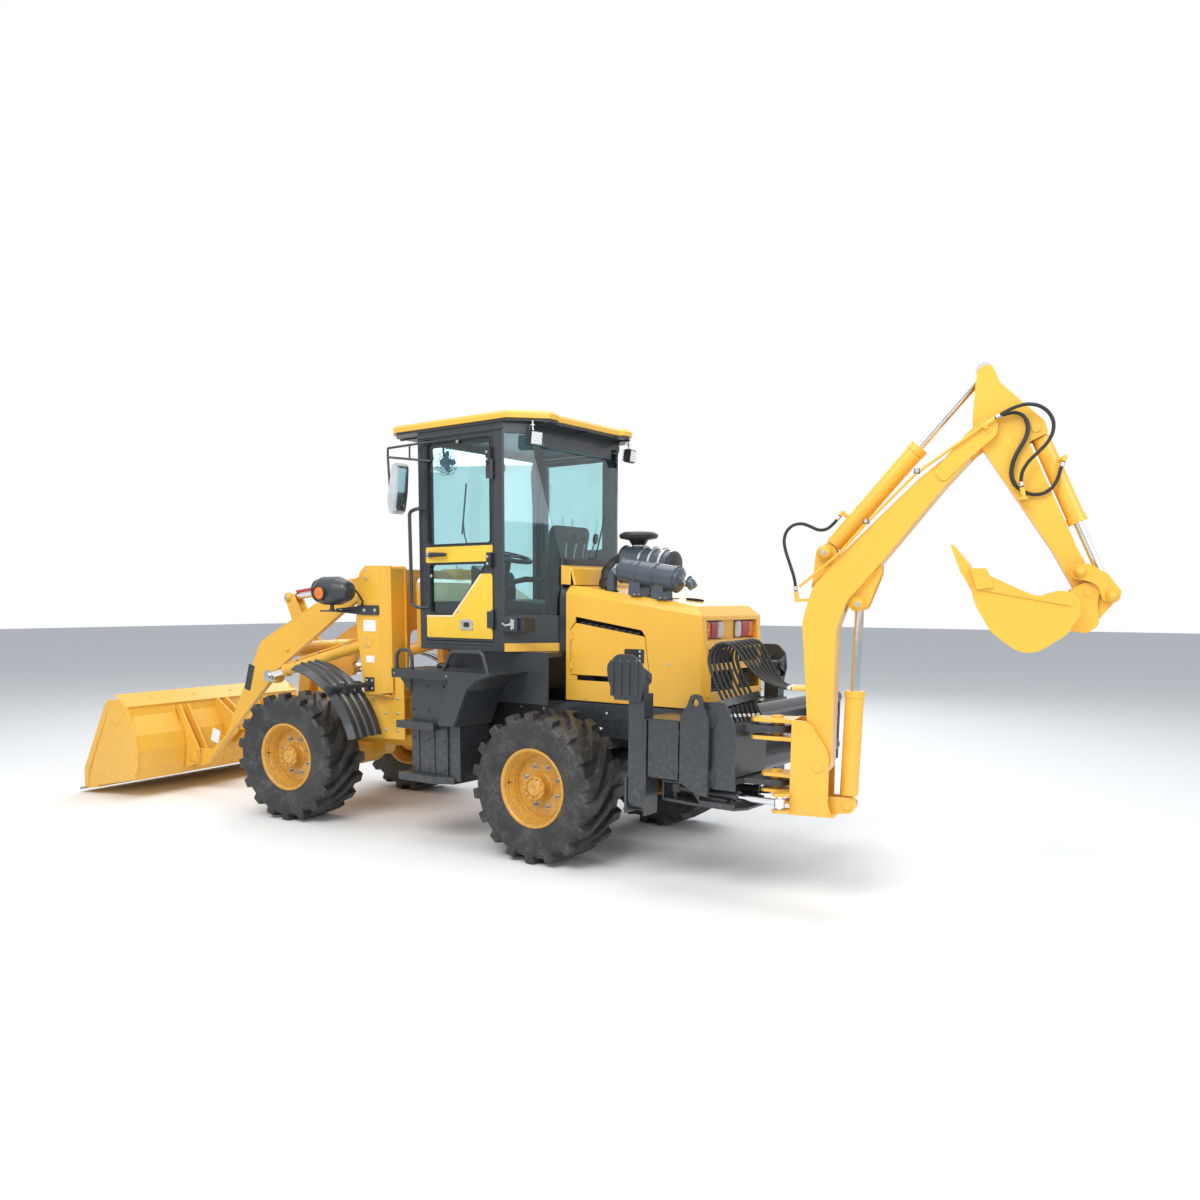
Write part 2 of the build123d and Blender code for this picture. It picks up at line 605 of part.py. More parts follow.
def cab_bodywork():
    """The yellow sheet metal: roof, nose cowl, rear cowl and sill strips."""
    low = CAB_Z[1] + ROOF_LINER_T + 0.3
    roof = upright(roof_plan(0), (low, low + ROOF_T))
    roof = chamfer(roof.faces().sort_by(Axis.Z)[-1].edges(), 20)
    wall = CAB_X[0] - 1
    nose = upright([(wall, -682), (-1465, -590), (-1655, -380), (-1655, 380), (-1465, 590), (wall, 682)], (1460, 2040))
    nose -= across([(wall + 5, 1795), (wall + 5, 2050), (-1700, 2050), (-1700, 1990), (-1500, 1950)], (-700, 700))
    hollow = upright([(wall + 5, -664), (-1457, -576), (-1640, -372), (-1640, 372), (-1457, 576), (wall + 5, 664)],
                     (1450, 2030))
    hollow -= across([(wall + 10, 1780), (wall + 10, 2050), (-1700, 2050), (-1700, 1975), (-1500, 1935)], (-700, 700))
    return roof, nose - hollow, rear_cowl(), paired(sill_strip())


def rear_cowl():
    """The cowl between the rear window and the hood."""
    front_x, rear_x = CAB_TAIL[0] + 1, -78
    half = 385
    side = [(front_x, 1926), (rear_x, 1920), (rear_x - 20, 2044, 16), (front_x, 2062)]
    inside = [(front_x - 5, 1900), (rear_x - 10, 1900), (rear_x - 29, 2034, 8), (front_x - 5, 2052)]
    shell = across(side, (-half, half)) - across(inside, (-half + 8, half - 8))
    return shell - paired(Pos(rear_x, half, 2000) * Rot(0, 0, 45) * Box(50, 50, 300))


def sill_strip():
    """The strip along the foot of the quarter panel."""
    z = (CAB_Z[0] + 2, CAB_Z[0] + 62)
    band = extrude(Plane.XY.offset(z[0]) * cab_plan(-5, CAB_TAIL), z[1] - z[0], dir=(0, 0, 1))
    band -= extrude(Plane.XY.offset(z[0] - 5) * cab_plan(-0.5, CAB_TAIL), z[1] - z[0] + 10, dir=(0, 0, 1))
    return band & block((-452, -200), (0, 800), (z[0] - 1, z[1] + 1))


def seat():
    base = block((-880, -460), (-200, 200), (1470, 1700))
    cushion = across([(-930, 1700), (-440, 1700), (-440, 1790, 30), (-930, 1820, 40)], (-240, 240))
    back = across([(-520, 1790), (-430, 1790), (-350, 2370, 40), (-440, 2380, 40)], (-220, 220))
    return joined(base, cushion, back)


def steering_console():
    column = strut((-1170, 0, 1520), (-1040, 0, 2130), 40)
    base = block((-1250, -1080), (-160, 160), (1471, 1900))
    wheel_ring = Pos(-1030, 0, 2150) * Rot(0, 14, 0) * (Torus(190, 14) + Box(380, 26, 14) + Cylinder(36, 30))
    return joined(column, base, wheel_ring)


def muffler():
    """The exhaust can, its elbow from the hood, its tail pipe and its two saddles."""
    x, y = MUFFLER_INLET
    front_end, rear_end = (302, y, 2018), (745, y, 1950)
    radius = 87
    can = strut(front_end, rear_end, radius)
    for share in (0.2, 0.62):
        ring_x = front_end[0] + (rear_end[0] - front_end[0]) * share
        ring_z = front_end[2] + (rear_end[2] - front_end[2]) * share
        can += strut((ring_x - 5, y, ring_z + 1), (ring_x + 5, y, ring_z - 1), radius + 4)
        saddle = across([(ring_x - 10, hood_top(ring_x - 10) + 1), (ring_x + 90, hood_top(ring_x + 90) + 1),
                         (ring_x + 80, ring_z - 30), (ring_x, ring_z - 20)], (y - 62, y + 62))
        can += saddle
    elbow = bent_tube([(330, y, 2014), (x + 8, y, 2034), (x, y, hood_top(x) - 20)], 36, 62)
    tail = bent_tube([(735, y, 1950), (830, y, 1937), (860, y, 1895)], 30, 30)
    return joined(can, elbow, tail)


def air_cleaner():
    """The air cleaner canister with its bands, and the rain cap on its neck."""
    front_end, rear_end = (125, AIR_Y, 2106), (545, AIR_Y, 2050)
    can = strut(front_end, rear_end, 100)
    for share in (0.42, 0.62, 0.82):
        ring_x = front_end[0] + (rear_end[0] - front_end[0]) * share
        ring_z = front_end[2] + (rear_end[2] - front_end[2]) * share
        can += strut((ring_x - 12, AIR_Y, ring_z + 1.6), (ring_x + 12, AIR_Y, ring_z - 1.6), 106)
    cap_x = 240
    neck = bar_z(cap_x, AIR_Y, 42, (2100, 2270))
    cap = revolve(outline([(0, 2262), (136, 2262), (140, 2272), (118, 2296, 12), (0, 2300)]), Axis.Y)
    cap = Pos(cap_x, AIR_Y, 0) * Rot(90, 0, 0) * cap
    foot = across([(270, hood_top(270) + 1), (470, hood_top(470) + 1), (470, 1990), (270, 2010)],
                  (AIR_Y - 70, AIR_Y + 70))
    return joined(can, neck, cap, foot)


AIR_Y = -25


# ---------------------------------------------------------------- platforms and steps
def platforms():
    """The steps, the tread deck, the guard over the rear tyre and the rails, on both sides."""
    deck = block((-1320, -717), (603, 1000), (1240, 1300))
    column = block((-1190, -820), (603, 930), (490, 1240))
    column += block((-818, -707), (603, 915), (490, 905)) + block((-825, -810), (603, 905), (490, 905))
    upper = block((-1282, -896), (603, 1000), (860, 912))
    lower = upright([(-1267, 1000), (-905, 1000), (-755, 930), (-755, 603), (-1267, 603)], (466, 518))
    gusset = across([(-1310, 1242), (-1185, 1242), (-1185, 1120)], (925, 940))
    outer = across([(-719, 1300), (-322, 1300), (-470, 1252, 60), (-560, 1176, 60), (-690, 905), (-846, 905)], (985, 1000))
    guard = across([(-722, 1300), (-322, 1300), (-322, 1292), (-466, 1244, 60), (-555, 1170, 60), (-684, 900),
                    (-694, 905), (-566, 1180, 60), (-474, 1256, 60), (-400, 1286), (-722, 1286)], (603, 990))
    rails = [bent_tube([(-1308, 960, 1295), (-1308, 960, 1442), (-1145, 960, 1442), (-1145, 960, 1295)], 14, 62),
             bent_tube([(-828, 960, 1290), (-745, 960, 1442), (-440, 960, 1446), (-390, 960, 1295)], 14, 45)]
    return paired(joined(deck, column, upper, lower, gusset, outer, guard, *rails))


# ---------------------------------------------------------------- loader
def loader_arms():
    pivot_x, pivot_z = ARM_PIVOT
    pin_x, pin_z = BUCKET_PIN
    side = [(pivot_x + 62, pivot_z + 20, 50), (pivot_x - 20, pivot_z + 72, 50), (-2650, 1791), (-3128, 1557),
            (-3347, 1440, 120), (-3841, 574, 100), (-4040, 424), (pin_x - 20, pin_z + 76, 60),
            (pin_x - 74, pin_z, 60), (pin_x - 20, pin_z - 74, 50), (-4143, 259, 100), (-3083, 1253, 100),
            (-2405, 1693), (pivot_x + 20, pivot_z - 66, 50)]
    plate = across(side, ARM_Y)
    plate += bar_y(*ARM_PIVOT, 62, ARM_Y) + bar_y(*BUCKET_PIN, 78, ARM_Y) + bar_y(*LIFT_EYE, 70, ARM_Y)
    plate -= [bar_y(*ARM_PIVOT, ARM_BORE_R, (400, 600)), bar_y(*BUCKET_PIN, ARM_BORE_R, (400, 600))]
    cross_at = (CRANK_PIN[0] + 165, CRANK_PIN[1] + 40)
    tube = bar_y(*cross_at, 65, (-ARM_Y[0] - 5, ARM_Y[0] + 5))
    ear = lug_plate(CRANK_PIN, cross_at, 62, 120, (75, 95))
    pin = bar_y(*CRANK_PIN, LOADER_PIN_R, (-95, 95))
    return joined(paired(plate), tube, paired(ear), pin)


def bellcrank():
    shape = [(CRANK_TOP[0] - 50, CRANK_TOP[1] + 20, 45), (CRANK_TOP[0] + 50, CRANK_TOP[1] + 50, 45),
             (CRANK_PIN[0] + 85, CRANK_PIN[1] + 20, 60), (CRANK_PIN[0] + 40, CRANK_PIN[1] - 80, 60),
             (CRANK_LOW[0] + 50, CRANK_LOW[1] - 50, 40), (CRANK_LOW[0] - 55, CRANK_LOW[1] - 10, 40),
             (CRANK_PIN[0] - 95, CRANK_PIN[1] + 10, 60)]
    plates = paired(across(shape, (38, 58)))
    boss = bar_y(*CRANK_PIN, 66, (-68, 68))
    low_pin = bar_y(*CRANK_LOW, LOADER_PIN_R, (-60, 60))
    shape = joined(plates, boss, low_pin)
    return shape - bar_y(*CRANK_PIN, LOADER_PIN_R + 1, (-80, 80))


def loader_link():
    bar = lug_plate(LINK_PIN, CRANK_LOW, 48, 96, (-32, 32))
    bar += bar_y(*CRANK_LOW, 52, (-32, 32)) + bar_y(*LINK_PIN, 26, (-CENTRE_EAR_Y[0] + 3, CENTRE_EAR_Y[0] - 3))
    return bar - bar_y(*CRANK_LOW, LOADER_PIN_R + 1, (-50, 50))


CENTRE_EAR_Y = (44, 62)


def loader_bucket():
    half = BUCKET_HALF
    side = [(-5136, 60), (-5122, 226), (-4783, 831), (-4700, 905), (-4549, 907), (-4486, 812), (-4364, 588),
            (-4349, 450), (-4374, 297), (-4407, 186)]
    shell_out = [(-5150, 45), (-4780, 115), (-4410, 186), (-4372, 297), (-4352, 450), (-4372, 590), (-4470, 760),
                 (-4484, 841), (-4662, 951), (-4656, 941), (-4498, 838), (-4486, 752), (-4392, 584), (-4372, 450),
                 (-4392, 303), (-4424, 202), (-4782, 133), (-5150, 62)]
    ends = paired(across(side, (half - 14, half)))
    shell = across(shell_out, (-half + 10, half - 10))
    edge = across([(-5228, 22), (-4950, 72), (-4954, 92), (-5215, 50)], (-half, half))
    ear = [(-4470, 800), (-4420, 830), (-4180, 420, 30), (-4175, 300, 60), (-4260, 268, 40), (-4390, 230),
           (-4365, 300), (-4345, 450), (-4366, 590), (-4466, 765)]
    ears_all = []
    for y in ((ARM_Y[1] + 12, ARM_Y[1] + 32), (ARM_Y[0] - 32, ARM_Y[0] - 12)):
        ears_all.append(paired(across(ear, y)))
    centre_ear = [(-4480, 835), (-4440, 850), (-4170, 660, 50), (-4170, 540, 50), (-4345, 400), (-4366, 590),
                  (-4466, 765)]
    ears_all.append(paired(across(centre_ear, CENTRE_EAR_Y)))
    pin = paired(bar_y(*BUCKET_PIN, LOADER_PIN_R, (ARM_Y[0] - 40, ARM_Y[1] + 40)))
    return joined(ends, shell, edge, *ears_all, pin)


# ---------------------------------------------------------------- hoses
HOSE_R = 9
HOSE_COUNT = 7
HOSE_PITCH = 30             # between the hoses, along the clamp
UNION_PITCH = 25            # between the hoses at the boom's foot
UNION_R = 12
UNION_END = (93, 1307)      # where they meet the boom's unions, in the hoe's plane
SEAT_GAP = 0.2              # between a hose's end and its union
MIN_RADII = []

# the middle hose from the carriage to the boom (x, y, z), and how far the others lie beside it at
# each point, for each mm of pitch (x, y, z)
HOE_HOSE_ROUTE = (
    ((1500, -738, 1104), (0.6, 0.8, 0.0)),
    ((1474, -738, 1174), (0.6, 0.8, 0.15)),
    ((1434, -738, 1246), (0.6, 0.8, 0.28)),
    ((1390, -738, 1322), (0.6, 0.8, 0.22)),
    ((1358, -738, 1390), (0.6, 0.8, 0.14)),
    ((1338, -738, 1450), (0.6, 0.8, 0.1)),
    ((1341, -738, 1492), (0.6, 0.8, 0.1)),
    ((1360, -738, 1529), (0.6, 0.8, 0.1)),
    ((1393, -738, 1556), (0.6, 0.8, 0.1)),
    ((1433, -738, 1567), (0.6, 0.8, 0.1)),
    ((1475, -738, 1562), (0.6, 0.8, 0.1)),
    ((1511, -738, 1540), (0.58, 0.8, 0.08)),
    ((1536, -738, 1506), (0.55, 0.8, 0.05)),
    ((1585, -738, 1435), (0.5, 0.8, 0.0)),
    ((1638, -740, 1375), (0.32, 0.8, 0.0)),
    ((1698, -742, 1331), (0.06, 0.8, 0.0)),
)

# hoses at the top of the boom: reach, height and place across, in the hoe's plane
DIPPER_RAM_HOSE = ((95, 1863, -60), (84, 1935, -60), (56, 2014, -58), (28, 2088, -56), (14, 2150, -54),
                   (26, 2204, -52), (64, 2240, -50), (116, 2246, -48), (164, 2226, -46), (206, 2205, -44),
                   (250, 2208, -40), (288, 2240, -36), (321, 2283, -34))
RETURN_HOSE = ((1095, 2746, -118), (1130, 2769, -118), (1187, 2797, -118), (1245, 2809, -118),
               (1302, 2796, -118), (1346, 2762, -118), (1373, 2712, -118), (1372, 2656, -118),
               (1346, 2604, -118), (1306, 2562, -118), (1266, 2522, -118), (1239, 2472, -118),
               (1236, 2425, -118), (1243, 2392, -118))
BUCKET_RAM_HOSE = ((1102, 2754, -84), (1145, 2770, -84), (1188, 2776, -84), (1227, 2760, -84),
                   (1252, 2722, -84), (1256, 2674, -84), (1239, 2624, -84), (1212, 2576, -84),
                   (1192, 2524, -84), (1186, 2468, -84), (1203, 2416, -84), (1242, 2376, -84),
                   (1293, 2356, -84), (1344, 2358, -80), (1386, 2386, -74), (1409, 2432, -68),
                   (1418, 2478, -64), (1430, 2520, -62))


def hose(points, radius):
    """A hose through the points. Each bend is as large as its two runs allow."""
    points = [Vector(*point) for point in points]
    bends = []
    for before, here, after in zip(points, points[1:], points[2:]):
        first, second = here - before, after - here
        half_turn = radians(first.get_angle(second)) / 2
        bends.append(min(0.45 * min(first.length, second.length) / tan(half_turn), 5000))
    MIN_RADII.append(min(bends))
    path = FilletPolyline(*points, radius=bends)
    return sweep(Plane(origin=path @ 0, z_dir=path % 0) * Circle(radius), path)


def hoe_hose_points(index):
    """The route of one of the hoses from the carriage to the boom's foot."""
    beside = index - (HOSE_COUNT - 1) / 2
    points = []
    for place, spread in HOE_HOSE_ROUTE:
        points.append(tuple(p + beside * HOSE_PITCH * v for p, v in zip(place, spread)))
    turn = radians(HOE_SWING)
    for reach in (UNION_END[0] - 46, UNION_END[0] - SEAT_GAP):
        across_by = beside * UNION_PITCH
        points.append((SWING_PIN[0] + reach * cos(turn) - across_by * sin(turn),
                       SWING_PIN[1] + reach * sin(turn) + across_by * cos(turn), UNION_END[1]))
    return points


def hoe_hoses():
    return joined(*[hose(hoe_hose_points(index), HOSE_R) for index in range(HOSE_COUNT)])


def in_plane(points):
    """Points given as reach, height and place across, as X, Y and Z."""
    return [(reach, across_by, height) for reach, height, across_by in points]


def boom_tip_hoses():
    return joined(*[hose(in_plane(route), HOSE_R) for route in (DIPPER_RAM_HOSE, RETURN_HOSE, BUCKET_RAM_HOSE)])


def union(end, beyond, length, gap=SEAT_GAP):
    """A union that a hose's end sits on. beyond is the hose's next point after its end."""
    end, beyond = Vector(*end), Vector(*beyond)
    out = (end - beyond).normalized()
    return strut(end + out * gap, end + out * (length + gap), UNION_R)


def hose_unions():
    """The row of unions on the carriage's upper fork plate."""
    pieces = []
    for index in range(HOSE_COUNT):
        points = hoe_hose_points(index)
        pieces.append(union(points[0], points[1], 25))
    return pieces


def boom_unions():
    """What the hoses end on at the boom's foot, its bend and its tip."""
    pieces = []
    for index in range(HOSE_COUNT):
        beside = (index - (HOSE_COUNT - 1) / 2) * UNION_PITCH
        pieces.append(bar_x(beside, UNION_END[1], UNION_R - 1, (UNION_END[0], 185)))
    for route, length in ((DIPPER_RAM_HOSE, 60), (RETURN_HOSE, 60), (BUCKET_RAM_HOSE, 60)):
        points = in_plane(route)
        pieces.append(union(points[0], points[1], length))
    pieces.append(block((92, 175), (-70, -50), (1806, 1822)))
    pieces.append(block((1040, 1062), (-128, -BOOM_HALF), (2698, 2722)))
    return pieces


def hose_clamp():
    """Two bars bolted together over the hoses, on two posts."""
    before, after = [Vector(*place) for place, spread in HOE_HOSE_ROUTE[1:3]]
    along = Vector(*HOE_HOSE_ROUTE[1][1]) + Vector(*HOE_HOSE_ROUTE[2][1])
    centre = (before + after) * 0.5
    length, width, thick, gap = 270, 46, 10, 2 * HOSE_R + 8
    post_at = length / 2 - 11
    place = Plane(origin=centre, x_dir=along, z_dir=along.cross(after - before))
    shape = Pos(0, 0, gap / 2 + thick / 2) * Box(length, width, thick)
    shape += Pos(0, 0, -gap / 2 - thick / 2) * Box(length, width, thick)
    for side in (-1, 1):
        shape += Pos(side * post_at, 0, 0) * Cylinder(8, gap + 2 * thick + 12)
    shape = place * shape
    for side in (-1, 1):
        top = place.from_local_coords(Vector(side * post_at, 0, -gap / 2 - thick / 2))
        shape += bar_z(top.X, top.Y, 9, (FORK_Z[1][1] - 4, top.Z + 3))
    return shape


# ---------------------------------------------------------------- hoe frame and carriage
def hoe_frame():
    """The end plates, beam and slide bars, which stay separate pieces, the outrigger mounts, and the
    tool box."""
    half = HOE_FRAME_HALF
    inside = half - 25
    end_plate = across([(1192, 1110), (1192, 713), (1310, 650), (1388, 640), (1388, 1110), (1350, 1190),
                        (1325, 1255, 35), (1265, 1255, 35), (1240, 1190)], (inside, half))
    end_plate -= bar_y(1295, 1205, 22, (half - 50, half + 10))
    front_beam = block((FRAME_REAR_X + 1, 1212), (-inside, inside), (705, 1085))
    bars = [bar_y(BAR_X, z, BAR_R, (-inside, inside)) for z in BAR_Z]
    # outrigger mounts
    mount = block((RIGGER_X[1] + 6, RIGGER_X[1] + 22), (870, 990), (470, 1080))
    mount += block((RIGGER_X[0] - 22, RIGGER_X[0] - 6), (870, 990), (470, 700))
    mount += block((RIGGER_X[0] - 22, RIGGER_X[1] + 22), (850, 868), (470, 1080))
    mount += bar_x(-RIGGER_Y, RIGGER_Z, 28, (RIGGER_X[0] - 22, RIGGER_X[1] + 22))
    stub = block((RIGGER_X[0], RIGGER_X[1]), (FRAME_HALF + 1, 855), (860, 1070))
    box = block((960, 1185), (700, 960), (715, 1085)) - block((975, 1170), (715, 970), (730, 1070))
    joiner = block((950, 965), (FRAME_HALF + 1, 962), (720, 1080))
    return [paired(end_plate), front_beam, *bars], joined(paired(mount), paired(stub), paired(joiner)), box


def tool_box_door():
    """The door on the outer side of the tool box, with the knuckles of its hinge."""
    leaf = block((962, 1178), (-980, -966), (722, 1080))
    return joined(leaf, *[bar_z(1179, -982, 7, level) for level in ((770, 815), (985, 1030))])


def carriage():
    y0, y1 = CARRIAGE_Y
    x0, x1 = CARRIAGE_X
    pin_x, pin_y = SWING_PIN
    t = 15
    sides = []
    for y in (y0, y1 - t):
        sides.append(across([(x0, 1150), (x0, 640), (x0 + 55, 570), (x1, 570), (x1, NOTCH_Z[0]), (x0 + 37, NOTCH_Z[0]),
                             (x0 + 37, NOTCH_Z[1]), (x1, NOTCH_Z[1]), (x1, 1060), (x1 - 80, 1210), (x0 + 35, 1210)], (y, y + t)))
    back = block((x1 - t, x1), (y0, y1), (770, 1040))
    sleeves = []
    for z in BAR_Z:
        sleeves.append(bar_y(BAR_X, z, BAR_R + 12, (y0 - 10, y0 + 40)))
        sleeves.append(bar_y(BAR_X, z, BAR_R + 12, (y1 - 40, y1 + 10)))
    forks = []
    for level in FORK_Z:
        plate = upright([(x0 + 125, y0 + 5), (x1, y0 + 5), (x1 + 20, pin_y - 108), (pin_x, pin_y - 85),
                         (pin_x, pin_y + 85), (x1 + 20, pin_y + 108), (x1, y1 - 5), (x0 + 125, y1 - 5)], level)
        forks.append(plate + bar_z(*SWING_PIN, 85, level))
    base_x, spread = SWING_BASE
    floor = upright([(base_x - 60, y0 + 40), (x0, y0), (x1, y0), (x1 + 50, y0 + 80), (x1 + 50, y1 - 80),
                     (x1, y1), (x0, y1), (base_x - 60, y1 - 40)], (570, 585))
    shelf = block((base_x - 50, x0 - 10), (y0 + 45, y1 - 45), (684, 696))
    shelf += block((base_x - 60, base_x - 48), (y0 + 45, y1 - 45), (570, 696))
    shelf -= block((base_x - 10, x0), (pin_y - 40, pin_y + 40), (680, 700))
    shelf += paired_about(pin_y, bar_z(base_x, pin_y - spread, SWING_RAM_PIN_R, (580, 690)))
    arms = [block((x0 - 20, x0 + 10), (y0, y0 + 60), (684, 696)), block((x0 - 20, x0 + 10), (y1 - 60, y1), (684, 696))]
    shape = joined(*sides, back, *sleeves, *forks, floor, shelf, *arms, hose_clamp(), *hose_unions())
    shape -= [bar_y(BAR_X, z, BAR_R + 1, (y0 - 20, y1 + 20)) for z in BAR_Z]
    shape -= [bar_z(*SWING_PIN, 36, (level[0] - 5, level[1] + 5)) for level in FORK_Z]
    return shape


NOTCH_Z = (608, 688)        # room for the swing rams through the carriage's sides


def paired_about(y, shape):
    """A shape and its mirror image in the plane at y, as one."""
    return shape + mirror(shape, Plane.XZ.offset(-y))


# ---------------------------------------------------------------- swing post and hoe
POST_SIDE = (112, 130)
POST_LEVELS = ((1105, 1128), (1000, 1022), (785, 805), (690, 708))


def swing_post():
    inside, outside = POST_SIDE
    top = POST_LEVELS[0][1]
    side = [(107, 577), (352, 577), (326, 650, 60), (322, 950, 140), (205, top, 150), (107, top)]
    plates = paired(across(side, POST_SIDE))
    web = block((107, 119), (-outside + 5, outside - 5), (577, top))
    web -= block((100, 130), (-inside, inside), (830, 985))
    floor = block((107, 366), (-outside - 6, outside + 6), (577, 592))
    shelves = []
    for level, reach in zip(POST_LEVELS, (147, 147, 78, 78)):
        plate = upright([(-reach + 20, -70), (60, -90), (118, -inside), (118, inside), (60, 90), (-reach + 20, 70),
                         (-reach, 40), (-reach, -40)], level)
        shelves.append(plate)
    reach, spread = SWING_EYE
    wings = []
    for level in (POST_LEVELS[3], (592, 608)):
        wing = bar_z(reach, spread, 42, level) + block((reach - 30, 118), (spread - 75, spread + 20), level)
        wings.append(paired(wing))
    pins = [bar_z(0, 0, 35, (POST_LEVELS[1][0] - 10, POST_LEVELS[0][1] + 12)),
            bar_z(0, 0, 35, (POST_LEVELS[3][0] - 6, POST_LEVELS[2][1] + 12))]
    ram_ear = lug_plate(BOOM_RAM_BASE, (250, 630), 46, 106, (40, 58))
    ram_pin = bar_y(*BOOM_RAM_BASE, 25, (-66, 66))
    foot_pin = bar_y(*BOOM_FOOT, 30, (-outside - 6, outside + 6))
    return joined(plates, web, floor, *shelves, *wings, *pins, paired(ram_ear), ram_pin, foot_pin)


def boom():
    side = [(200, 830, 50), (330, 830, 60), (330, 1650, 200), (385, 1810, 150), (540, 1995, 200), (870, 2420),
            (1050, 2625), (1090, 2740, 40), (1020, 2690), (740, 2465), (330, 2055, 250), (190, 1880, 150),
            (140, 1690, 200), (170, 1360), (200, 940)]
    body = across(side, (-BOOM_HALF, BOOM_HALF))
    body += bar_y(*BOOM_FOOT, 60, (-BOOM_HALF - 8, BOOM_HALF + 8)) + bar_y(*BOOM_TIP, 58, (-BOOM_HALF, BOOM_HALF))
    # doubling plates at the tip, and the fork there, which the dipper turns in
    body += paired(across([(806, 2494, 20), (859, 2435, 20), (1000, 2570), (1108, 2665, 30), (1112, 2738, 40),
                           (1048, 2758, 30), (960, 2680)], (BOOM_HALF - 1, BOOM_HALF + 8)))
    body -= across([(960, 2560), (1200, 2500), (1200, 2850), (960, 2850)], (-DIPPER_HALF - 10, DIPPER_HALF + 10))
    # the pocket between the ears of the boom ram, for its rod's eye
    body -= bar_y(*BOOM_RAM_EYE, 97, (-39, 39))
    body += bar_y(*BOOM_TIP, 28, (-BOOM_HALF - 12, BOOM_HALF + 12))
    body -= bar_y(*BOOM_FOOT, 31, (-200, 200))
    low_lug = ears([(380, 1830), (560, 2010), (560, 1960, 20), (490, 1765, 40), (420, 1745, 40), (372, 1800)], 80, 18)
    low_lug -= bar_y(*BOOM_RAM_EYE, 5, (-30, 30))
    top_lug = ears([(180, 1880), (200, 2090, 40), (250, 2135, 40), (300, 2110, 30), (330, 2040)], 80, 18)
    top_pin = bar_y(*DIPPER_RAM_BASE, 25, (-62, 62))
    return joined(body, low_lug, top_lug, top_pin, *boom_unions())


def dipper():
    side = [(BOOM_TIP[0] - 62, 3010, 40), (1060, 3040, 40), (1110, 2935), (1226, 2825), (1330, 2730, 30),
            (1352, 2668, 12), (1264, 2627), (1527, 2070), (1640, 1870, 40), (1560, 1800, 40), (1403, 2072),
            (1030, 2620, 60), (985, 2740)]
    body = across(side, (-DIPPER_HALF, DIPPER_HALF))
    body += bar_y(*BOOM_TIP, 60, (-DIPPER_HALF, DIPPER_HALF))
    body -= bar_y(*BOOM_TIP, 29, (-100, 100))
    gap = 36
    body -= across([(940, 3080), (1125, 3080), (1125, 2925), (1060, 2880), (1035, 2790), (1015, 2730), (940, 2730)],
                   (-gap, gap))
    body -= across([(1215, 2640), (1245, 2590), (1400, 2560), (1400, 2790), (1240, 2775)], (-gap, gap))
    pins = bar_y(*BUCKET_RAM_BASE, 24, (-DIPPER_HALF - 6, DIPPER_HALF + 6))
    pins += bar_y(*ROCKER_PIN, 22, (-ROCKER_Y[1] - 4, ROCKER_Y[1] + 4))
    body += pins
    route = in_plane(RETURN_HOSE)
    body += union(route[-1], route[-2], 62) + block((1232, 1276), (-134, -DIPPER_HALF + 1), (2330, 2342))
    return body - bar_y(*HOE_BUCKET_PIN, 23, (-100, 100))


def rocker():
    """The two bent arms that carry the rod of the bucket ram, with their pins."""
    shape = [(ROCKER_PIN[0] - 40, ROCKER_PIN[1] - 34, 36), (ROCKER_PIN[0] - 40, ROCKER_PIN[1] + 40, 36),
             (ROCKER_PIN[0] + 42, ROCKER_PIN[1] + 42, 50), (ROCKER_PIN[0] + 128, ROCKER_PIN[1] - 10, 80),
             (ROCKER_EYE[0] + 42, ROCKER_EYE[1] + 20, 30), (ROCKER_EYE[0] + 30, ROCKER_EYE[1] - 42, 30),
             (ROCKER_EYE[0] - 38, ROCKER_EYE[1] - 30, 30), (ROCKER_PIN[0] + 84, ROCKER_PIN[1] - 66, 60),
             (ROCKER_PIN[0] + 24, ROCKER_PIN[1] - 42, 30)]
    plates = paired(across(shape, ROCKER_Y))
    pins = paired(bar_y(*ROCKER_EYE, 20, (38, ROCKER_Y[1] + 4)))
    return plates + pins - paired(bar_y(*ROCKER_PIN, 23, (80, 120)))


def hoe_link():
    cheek = lug_plate(HOE_LINK_PIN, ROCKER_EYE, 32, 70, (40, 58)) + bar_y(*ROCKER_EYE, 36, (40, 58))
    boss = bar_y(*HOE_LINK_PIN, 32, (-58, 58)) + bar_y(*HOE_LINK_PIN, 22, (-HOE_EAR_Y[0] + 3, HOE_EAR_Y[0] - 3))
    return paired(cheek) + boss - bar_y(*ROCKER_EYE, 21, (-80, 80))


